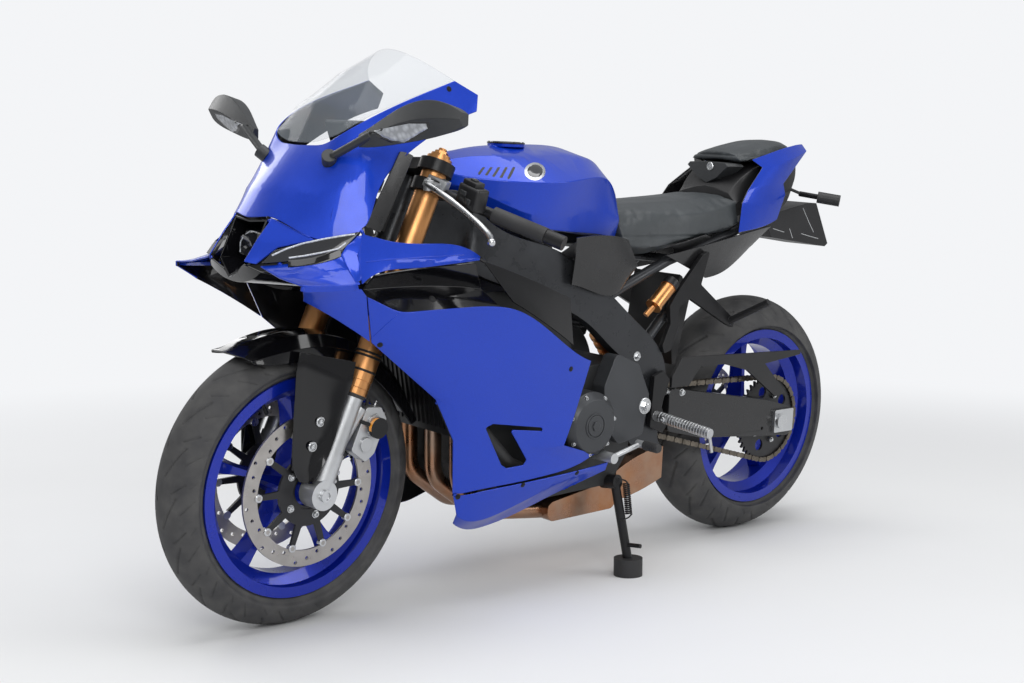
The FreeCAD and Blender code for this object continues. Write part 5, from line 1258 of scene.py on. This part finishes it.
def build_levers():
    levers = bmesh.new()
    perches = bmesh.new()
    ball = []
    for step in range(BALL_STEPS + 1):
        turn = math.pi * (step / BALL_STEPS - 0.5)
        ball.append((BALL_RADIUS * math.sin(turn), BALL_RADIUS * math.cos(turn) + 0.05))
    for turn in (same_side, steered_side):
        path = [turn(at(*place)) for place in lever_path]
        add_tube(levers, path, LEVER_RADIUS, 4)
        add_turned(levers, path[-1], (path[-1] - path[-2]).normalized(), ball, sides=16)
        clamp = turn(at(*PERCH_CLAMP))
        along = (turn(at(*PERCH_TOWARDS)) - clamp).normalized()
        across = along.cross(bike_up)
        axes = (along, across.normalized(), along.cross(across).normalized())
        add_box(perches, clamp, axes, *PERCH_BLOCK)
        pivot = turn(at(*LEVER_PIVOT))
        add_box(perches, (clamp + pivot) / 2, axes, *PERCH_LINK)
        add_turned(perches, pivot - bike_up * PIVOT_SINK * MM, bike_up, pivot_profile, sides=20)
    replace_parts(make_piece("hand_levers", levers, "silver", "steering"), "controls")
    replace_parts(make_piece("lever_perches", perches, "cast_silver", "steering", smooth=False), "controls")


def build_switches():
    # The switch blocks inboard of the grips, each with a rocker and two buttons.
    blocks = bmesh.new()
    knobs = bmesh.new()
    for turn in (same_side, steered_side):
        inner = turn(at(*SWITCH_INNER))
        outer = turn(at(*SWITCH_OUTER))
        along = (outer - inner).normalized()
        fore = along.cross(bike_up).normalized()
        fore = fore if fore.dot(bike_ahead) > 0 else -fore
        rise = fore.cross(along).normalized()
        rise = rise if rise.dot(bike_up) > 0 else -rise
        middle = inner.lerp(outer, SWITCH_SHARE) + (rise * SWITCH_RISE - fore * SWITCH_BACK) * MM
        for bm, boxes in ((blocks, switch_blocks), (knobs, switch_buttons)):
            for shift, sizes, bevel in boxes:
                place = middle + (along * shift[0] + fore * shift[1] + rise * shift[2]) * MM
                add_box(bm, place, (along, fore, rise), sizes, bevel)
    add_turned(blocks, steered_side(at(*RESERVOIR)), bike_up, reservoir_profile, sides=32)
    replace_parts(make_piece("bar_switches", blocks, "dark_plastic", "steering"), "controls")
    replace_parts(make_piece("switch_knobs", knobs, "matt_plastic", "steering"), "controls")


build_levers()
build_switches()


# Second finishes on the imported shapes, told apart by the bike's own millimetres

COWL_TOP_FROM = 1480
COWL_TOP_HEIGHT = 736
FOOTREST_ROOT = 176
TAIL_LAMP_HALF = 50
MIRROR_FROM = 180
MIRROR_FACING = -0.8
SHOCK_CAP_FROM = 120
SHOCK_CAP_SLOPE = 0.8
SHOCK_CAP_HEIGHT = 322
REFLECTOR = (378.5, 427.5)
REFLECTOR_RADIUS = 21.0


def on_cowl_top(co):
    place = upright(co)
    return place.x > COWL_TOP_FROM and place.z > COWL_TOP_HEIGHT


def on_shock_cap(co):
    place = upright(co)
    return place.y > SHOCK_CAP_FROM and place.z - SHOCK_CAP_SLOPE * place.x > SHOCK_CAP_HEIGHT


paint_faces("front_lamps", "smoke", lambda co: True)
paint_faces("cheek_cowls", "blue_paint", on_cowl_top)
paint_faces("rider_footrests", "black_metal", lambda co: abs(upright(co).y) < FOOTREST_ROOT)
paint_faces("rear_lamps", "dark_plastic", lambda co: abs(upright(co).y) > TAIL_LAMP_HALF)
paint_faces("shock_absorber", "black_metal", on_shock_cap)
reflector_face = seen(REFLECTOR, ("reflectors",))[0]
reflector_middles = (reflector_face, steered_side(reflector_face))
paint_faces("reflectors", "black_metal", lambda co: min(
    (co - middle).length for middle in reflector_middles) > REFLECTOR_RADIUS * MM, any)
mirror_mesh = dressed["mirrors"].data
mirror_mesh.materials.append(materials["glass"])
for face in mirror_mesh.polygons:
    if face.normal.x < MIRROR_FACING and abs(upright(face.center).y) > MIRROR_FROM:
        face.material_index = len(mirror_mesh.materials) - 1


# Lamps and mirrors

upper_pipe = ((272, 255.5), (286, 249), (302.5, 243.6), (324, 239), (344, 235.6), (355, 234.2))
lower_pipe = ((289, 258), (304, 256), (322, 252.6), (338, 249), (346, 243))
projector_rim = ((240.5, 252), (240.5, 242), (245, 234), (251, 231), (257, 232.5))
mirror_border = (
    (366, 131), (379, 139.5), (390, 144), (405, 146), (419, 139), (432.5, 129), (430, 120.5), (410, 120.5),
    (388, 125),
)
mirror_lens = (
    (373.5, 131), (383, 137.2), (391, 140.5), (404.5, 142.6), (415.5, 136.4), (428, 128.5), (426.6, 123.4),
    (409.5, 123.4), (389, 127.4),
)


# Lines by radius and lift, covers by the step of their pixels, lift and sink
PIPE_LINE = (1.8, 0.3)
RIM_LINE = (1.3, 0.3)
FRAME_COVER = (3.0, 0.7, 0.5)
LENS_COVER = (2.2, 1.7, -0.4)


def build_lamps():
    pipes, rims, border, lenses = [bmesh.new() for _ in range(4)]
    for path in (upper_pipe, lower_pipe):
        lay_line(pipes, path, ("front_lamps",), *PIPE_LINE)
    lay_line(rims, projector_rim, ("front_lamps",), *RIM_LINE, (same_side,))
    lay_cover(border, mirror_border, ("mirrors",), *FRAME_COVER)
    lay_cover(lenses, mirror_lens, ("mirrors",), *LENS_COVER)
    make_piece("light_pipes", pipes, "pipe")
    make_piece("projector_rims", rims, "pipe")
    make_piece("mirror_lamp_frames", border, "gloss_black")
    make_piece("mirror_lamp_lenses", lenses, "led")


build_lamps()


# Panel fixings, beads and creases

cowl_nodes = ("nose_cowl", "cheek_cowls", "side_panels", "belly_pan", "inner_panels", "tail_cowls")
panel_bolt_pixels = ((380, 345), (571, 369), (458, 497), (523, 485), (577, 473), (449, 89))
push_pin_pixels = ((432.4, 299),)
nose_bead = ((268.4, 217.6), (275.0, 220.0), (282.4, 223.8), (293.6, 230.0), (302.0, 234.0), (310.0, 237.2))
cheek_crease = ((366, 262), (384, 260.2), (400, 258.8), (430, 256.8), (464, 255))
PANEL_SINK = 0.3
# Lines by radius and lift off the surface
NOSE_LINE = (1.5, -0.2)
CREASE_LINE = (1.1, -0.1)
panel_crease = ((371, 339), (379, 331.5), (386, 325), (394, 318), (400, 312.5))


def build_panel_details():
    bolts, pins, beads, creases = [bmesh.new() for _ in range(4)]
    set_bolts(bolts, panel_bolt_pixels, cowl_nodes, *PANEL_BOLT, sink=PANEL_SINK)
    set_bolts(pins, push_pin_pixels, cowl_nodes, *PUSH_PIN, sink=PANEL_SINK, socket=False)
    lay_line(beads, nose_bead, ("nose_cowl",), *NOSE_LINE)
    lay_line(creases, cheek_crease, ("cheek_cowls",), *CREASE_LINE)
    lay_line(creases, panel_crease, ("side_panels",), *CREASE_LINE)
    make_piece("panel_bolts", bolts, "black_metal", smooth=False)
    make_piece("push_pins", pins, "dark_plastic", smooth=False)
    make_piece("nose_beads", beads, "blue_paint")
    make_piece("cowl_crease_lines", creases, "blue_paint")


build_panel_details()


# Strips over the slits between panels: pixels on the first panel and on the last, row by row

STRIP_STEPS = 5
STRIP_THICKNESS = 1.6
cheek_rows = (
    ((357, 236), (362, 235.5)), ((354, 239.5), (361.8, 239)), ((350, 243), (361.6, 243)),
    ((346, 246.5), (360.8, 247)), ((340.5, 255.5), (360.3, 252)), ((344, 262), (360.3, 257)),
    ((348, 269), (360.3, 264)), ((352, 276), (360.8, 272)), ((355.5, 282.5), (361.5, 280)),
)
winglet_rows = (
    ((304, 286.5), (304, 292.5)), ((315, 287), (315, 292.5)), ((327, 286.5), (327, 292.3)),
    ((338, 286), (338, 291.8)), ((349, 285.3), (349, 291)), ((357.5, 284), (359, 290)),
)
duct_rows = (
    ((362, 228), (361.5, 236)), ((365, 226), (366, 235)), ((371, 227.5), (370.5, 236.5)),
    ((372.5, 228.5), (375, 237.5)),
)
seat_rows = (
    ((670, 245), (676, 252.5)), ((676, 244.5), (682, 251)), ((682, 242.5), (689, 248.5)),
    ((688, 241), (695, 246.5)), ((694, 238.5), (701, 243.5)), ((700, 236.5), (706.5, 240.5)),
    ((706, 234.5), (712, 238)),
)
spar_rows = (
    ((560, 253.5), (577.5, 241)), ((562, 254.5), (576.5, 247)), ((564.5, 256), (576, 251)),
    ((567, 258), (576, 254.5)), ((570, 259.5), (576.5, 258.5)),
)
lamp_rows = (
    ((288, 260.5), (288, 267.5)), ((300, 259.5), (300, 266.5)), ((312, 257.5), (312, 265)),
    ((324, 254.5), (324, 262.5)), ((335, 250.5), (336, 259)), ((341, 247.5), (341.5, 256.5)),
)
strips = (
    ("cheek_fillets", cheek_rows, ("cheek_cowls", "front_lamps"), ("cheek_cowls",), "blue_paint"),
    ("winglet_fillets", winglet_rows, ("cheek_cowls",), ("side_panels",), "blue_paint"),
    ("duct_fillets", duct_rows, ("nose_cowl", "cowl_ducts"), ("cheek_cowls",), "gloss_black"),
    ("seat_fillets", seat_rows, ("rider_seat",), ("seat_subframe", "side_covers"), "dark_plastic"),
    ("spar_fillets", spar_rows, ("frame",), ("side_covers",), "dark_plastic"),
    ("lamp_fillets", lamp_rows, ("front_lamps",), ("cheek_cowls",), "gloss_black"),
)


def build_strip(name, rows, first_nodes, last_nodes, finish):
    # A narrow strip that rests on both panels.
    lines = []
    for first, last in rows:
        low = seen(first, first_nodes)
        high = seen(last, last_nodes)
        if low and high:
            lines.append([low[0].lerp(high[0], step / STRIP_STEPS) for step in range(STRIP_STEPS + 1)])
    sheet_piece(name, lines, STRIP_THICKNESS, finish, "chassis", other_side)


for strip in strips:
    build_strip(*strip)


# Tank details

SLOT_LEFTS = (475.5, 483.0, 490.5, 498.0, 505.5)
SLOT_FALL = 1.1
slot_pixels = tuple(
    ((left, 175 + index * SLOT_FALL), (left + 4.6, 175.6 + index * SLOT_FALL), (left + 11.4, 166.6),
     (left + 6.8, 166.2))
    for index, left in enumerate(SLOT_LEFTS))
EMBLEM_PLACE = (535.0, 171.4)
EMBLEM_ACROSS = 11.2
EMBLEM_UP = 9.6
EMBLEM_STEPS = 28
EMBLEM_DISC = 0.84
SLOT_COVER = (1.4, 0.5, 0.4)
RING_COVER = (2.0, 0.9, 0.3)
DISC_COVER = (2.0, 1.6, 0.3)
FUEL_CAP = (860, 0, 1012)
FUEL_CAP_BOLTS = 6
FUEL_CAP_RING = 38
FUEL_CAP_RISE = 0.6
FUEL_CAP_START = 0.3
fuel_cap_profile = (
    (-2, 43), (0.6, 43), (1.2, 42), (1.2, 34), (2.4, 33), (2.8, 31), (2.8, 13), (1.6, 12.4), (1.6, 4))


def build_tank_details():
    slots, ring, disc, cap = [bmesh.new() for _ in range(4)]
    for outline in slot_pixels:
        lay_cover(slots, outline, ("tank",), *SLOT_COVER)
    for target, scale, cover in ((ring, 1.0, RING_COVER), (disc, EMBLEM_DISC, DISC_COVER)):
        outline = []
        for step in range(EMBLEM_STEPS):
            turn = 2 * math.pi * step / EMBLEM_STEPS
            outline.append((
                EMBLEM_PLACE[0] + EMBLEM_ACROSS * scale * math.cos(turn),
                EMBLEM_PLACE[1] + EMBLEM_UP * scale * math.sin(turn),
            ))
        lay_cover(target, outline, ("tank",), *cover)
    place = at(*FUEL_CAP)
    add_turned(cap, place, bike_up, fuel_cap_profile, sides=48)
    for index in range(FUEL_CAP_BOLTS):
        turn = 2 * math.pi * index / FUEL_CAP_BOLTS + FUEL_CAP_START
        spot = place + (bike_ahead * math.cos(turn) + bike_left * math.sin(turn)) * FUEL_CAP_RING * MM
        add_bolt(cap, spot + bike_up * FUEL_CAP_RISE * MM, bike_up, *FUEL_CAP_SCREW)
    make_piece("tank_slots", slots, "dark_plastic")
    make_piece("tank_badge_rings", ring, "silver")
    make_piece("tank_badge_discs", disc, "smoke")
    make_piece("fuel_cap_ring", cap, "arm_black", smooth=False)


build_tank_details()


# Engine, frame and footrest details

LEFT_COVER = (742.0, 388.0)
RIGHT_COVER = (700.0, 370.0)
# Each ring of cover bolts: centre, plane, radius, count, start and head radius
cover_bolt_rings = ((LEFT_COVER, 204.0, 68.0, 7, 0.35, 4.4), (RIGHT_COVER, -198.0, 97.0, 8, 0.5, 4.6))
CAP_PLANE = 214.0
CAP_NUT_PLANE = 216.0
cover_cap_profile = ((-3, 30), (1.4, 30), (2.2, 29), (2.2, 26.5), (0.4, 26), (0.4, 1))
PIVOT_NUT = (644.8, 405.8)
FRAME_BOLT = (636.8, 356.2)
big_nuts = ((PIVOT_NUT, 25.0, 9.0), (FRAME_BOLT, 15.0, 6.0))
big_nut_nodes = ("frame", "swingarm", "seat_subframe", "engine_block", "engine_covers", "side_covers")
peg_bolt_pixels = ((667, 391.8), (682, 392.4), (674.6, 385.4), (663, 419.6))
peg_bolt_nodes = ("rider_footrests", "frame", "engine_covers", "foot_levers", "swingarm")
SHIFT_TOE = (605, 240, 334)
TOE_LENGTH = 46
TOE_RADIUS = 9.4
TOE_RIBS = 7
TOE_RIB_PITCH = 6
toe_rib = ((2, 11.6), (5, 11.6), (5.6, 10.4), (7.4, 10.4))
PEG_ROOT = (486.0, 172.0, 377.4)
PEG_TIP = (474.5, 318.0, 362.8)
PEG_RIBS = 18
PEG_RIB_HALF = 2.6
peg_rib_profile = ((0, 12.2), (0.5, 12.9), (4.7, 12.9), (5.2, 12.2))


def build_engine_details():
    cap, bolts, nuts, pegs = [bmesh.new() for _ in range(4)]
    x, z = LEFT_COVER
    add_turned(cap, at(x, CAP_PLANE, z), bike_left, cover_cap_profile, sides=40)
    add_nut(cap, at(x, CAP_NUT_PLANE, z), bike_left, *COVER_NUT)
    for (x, z), plane, radius, count, start, head in cover_bolt_rings:
        for index in range(count):
            turn = 2 * math.pi * (index + start) / count
            spot = at(x + radius * math.cos(turn), plane, z + radius * math.sin(turn))
            add_bolt(bolts, spot, bike_left * math.copysign(1, plane), head, COVER_BOLT_HEIGHT)
    for pixel, size, height in big_nuts:
        middle = seen(pixel, big_nut_nodes)[0]
        for here, way in ((middle, bike_left), (other_side(middle), -bike_left)):
            washer = ((-6, size * 0.78), (1.2, size * 0.78), (1.8, size * 0.72))
            stud = ((0, size * 0.3), (height + 3, size * 0.3), (height + 4, size * 0.22))
            add_turned(nuts, here, way, washer, sides=28)
            add_nut(nuts, here, way, size, height)
            add_turned(nuts, here, way, stud, sides=20)
    set_bolts(pegs, peg_bolt_pixels, peg_bolt_nodes, *PEG_BOLT)
    make_piece("engine_cover_cap", cap, "engine_grey", smooth=False)
    make_piece("engine_cover_bolts", bolts, "silver", smooth=False)
    make_piece("pivot_nuts", nuts, "silver", smooth=False)
    make_piece("footrest_bolts", pegs, "silver", smooth=False)


def build_ribs():
    # Ribbed rubber on the shift lever's toe and ribs along the rider's footrests.
    toe = bmesh.new()
    ribs = bmesh.new()
    middle = [(along + rib * TOE_RIB_PITCH, radius) for rib in range(TOE_RIBS) for along, radius in toe_rib]
    add_turned(toe, at(*SHIFT_TOE), bike_left, [(0, TOE_RADIUS), *middle, (TOE_LENGTH, TOE_RADIUS)])
    for side in (-1, 1):
        start, end = [at(x, side * y, z) for x, y, z in (PEG_ROOT, PEG_TIP)]
        way = (end - start).normalized()
        for rib in range(PEG_RIBS):
            place = start.lerp(end, (rib + 0.5) / PEG_RIBS)
            add_turned(ribs, place - way * PEG_RIB_HALF * MM, way, peg_rib_profile, sides=20)
    make_piece("shift_toe_rubber", toe, "rubber", smooth=False)
    make_piece("footrest_ribs", ribs, "silver", smooth=False)


build_engine_details()
build_ribs()


# The coil that holds the stand's leg down, from the leg's middle up to its bracket

SPRING_LOW = (599, 197, 158)
SPRING_HIGH = (603, 186, 232)
SPRING_COILS = 16
SPRING_STEPS = 160
SPRING_RADIUS = 7.4
SPRING_WIRE = 1.9
low_hook = ((621, 194, 146), (603, 199, 150))
high_hook = ((606, 184, 240), (623, 182, 244))


def build_stand_spring():
    bm = bmesh.new()
    low, high = at(*SPRING_LOW), at(*SPRING_HIGH)
    _, side, top = axes_for(high - low)
    places = [at(*place) for place in low_hook]
    for step in range(SPRING_STEPS + 1):
        turn = 2 * math.pi * SPRING_COILS * step / SPRING_STEPS
        coil = (side * math.cos(turn) + top * math.sin(turn)) * SPRING_RADIUS * MM
        places.append(low.lerp(high, step / SPRING_STEPS) + coil)
    places += [at(*place) for place in high_hook]
    add_tube(bm, places, SPRING_WIRE)
    make_piece("stand_spring", bm, "black_metal", "side_stand")


build_stand_spring()


# Rear details

SEAT_LOCK = (710.2, 166.3)
lock_profile = ((0, 11.0), (2.0, 11.0), (3.2, 9.8), (3.2, 7.4), (1.8, 7.0), (1.8, 0.5))
KEY_SLOT = (1.6, 8.0, 1.4)
KEY_SLOT_BEVEL = 0.3
KEY_SLOT_RISE = 1.4
PLATE_LINE = (1.2, -0.4)
plate_slots = (
    ((773, 228.5), (778.5, 230.3), (784, 232)), ((789.5, 228.5), (791, 233.3), (792.5, 238)),
    ((801, 233.5), (809, 236), (818, 238.5)), ((803, 208), (808, 220), (813.5, 232)),
)


def build_rear_details():
    lock = bmesh.new()
    place, way = seen(SEAT_LOCK, ("lock_cover", "tail_core"))
    add_turned(lock, place - way * MM, way, lock_profile, sides=28)
    _, side, top = axes_for(way)
    add_box(lock, place + way * KEY_SLOT_RISE * MM, (side, top, way), KEY_SLOT, KEY_SLOT_BEVEL)
    make_piece("seat_lock", lock, "silver", smooth=False)
    edges = bmesh.new()
    for path in plate_slots:
        lay_line(edges, path, ("plate_holder",), *PLATE_LINE)
    make_piece("plate_slot_edges", edges, "cast_silver")


build_rear_details()


# Floor, backdrop and light

BACKDROP = (0.93, 0.94, 0.96)
BACKDROP_LIGHT = 0.97
ROOM_LIGHT = 0.45
FLOOR_DARK = (0.78, 0.785, 0.79)
FLOOR_PALE = (0.81, 0.815, 0.82)
FLOOR_SIZE = 30.0
FADE_FROM = 1.3
FADE_TO = 4.2


def pale_floor():
    # Plain pale stone that keeps the shadow and fades into the backdrop away from the bike.
    material, tree, coords = new_finish("pale_floor")
    set_shader(tree, {
        "Base Color": mixed(tree, noise(tree, coords, 1.6, 6.0), FLOOR_DARK, FLOOR_PALE),
        "Roughness": 0.8, "Specular IOR Level": 0.2,
    })
    away = add_node(tree, "VectorMath", {0: coords}, "Value", operation="LENGTH")
    fading = {"Value": away, "From Min": FADE_FROM, "From Max": FADE_TO}
    fade = add_node(tree, "MapRange", fading, interpolation_type="SMOOTHSTEP")
    glow = add_node(tree, "Emission", {"Color": (*BACKDROP, 1), "Strength": BACKDROP_LIGHT})
    camera_ray = add_node(tree, "LightPath", {}, "Is Camera Ray")
    share = add_node(tree, "Math", {0: camera_ray, 1: fade}, operation="MULTIPLY")
    stone = tree.nodes["Principled BSDF"].outputs["BSDF"]
    both = add_node(tree, "MixShader", {"Fac": share, 1: stone, 2: glow})
    feed(tree, tree.nodes["Material Output"], "Surface", both)
    return material


floor_mesh = bpy.data.meshes.new("floor")
floor_corners = [(x * FLOOR_SIZE, y * FLOOR_SIZE, 0) for x, y in ((-1, -1), (1, -1), (1, 1), (-1, 1))]
floor_mesh.from_pydata(floor_corners, [], [(0, 1, 2, 3)])
floor_mesh.materials.append(pale_floor())
floor = placed("floor", floor_mesh)

world = bpy.data.worlds.new("studio")
scene.world = world
world.use_nodes = True
sky = world.node_tree
camera_ray = add_node(sky, "LightPath", {}, "Is Camera Ray")
clear_ray = add_node(sky, "LightPath", {}, "Is Transmission Ray")
direct = add_node(sky, "Math", {0: camera_ray, 1: clear_ray}, operation="MAXIMUM")
strength = add_node(sky, "MapRange", {"Value": direct, "To Min": ROOM_LIGHT, "To Max": BACKDROP_LIGHT})
feed(sky, sky.nodes["Background"], "Color", (*BACKDROP, 1))
feed(sky, sky.nodes["Background"], "Strength", strength)

# Each light: its place and target in metres, its size and its power in watts
lights = {
    "overhead": ((0.2, 0.4, 3.6), (0.1, 0.0, 0.5), (4.2, 2.4), 80),
    "key": ((2.6, 3.6, 2.6), (0.2, 0.0, 0.6), (2.4, 1.8), 78),
    "side": ((-2.4, 3.4, 1.8), (-0.2, 0.0, 0.5), (2.0, 1.4), 32),
    "rim": ((0.5, -3.6, 2.4), (0.1, 0.0, 0.7), (3.0, 1.2), 34),
}
for name, (place, target, size, power) in lights.items():
    light = bpy.data.lights.new(name, "AREA")
    light.shape = "RECTANGLE"
    light.size, light.size_y = size
    light.energy = power
    lamp = placed(name, light)
    lamp.location = place
    lamp.rotation_euler = (Vector(target) - Vector(place)).to_track_quat("-Z", "Y").to_euler()

scene.view_settings.view_transform = "Standard"
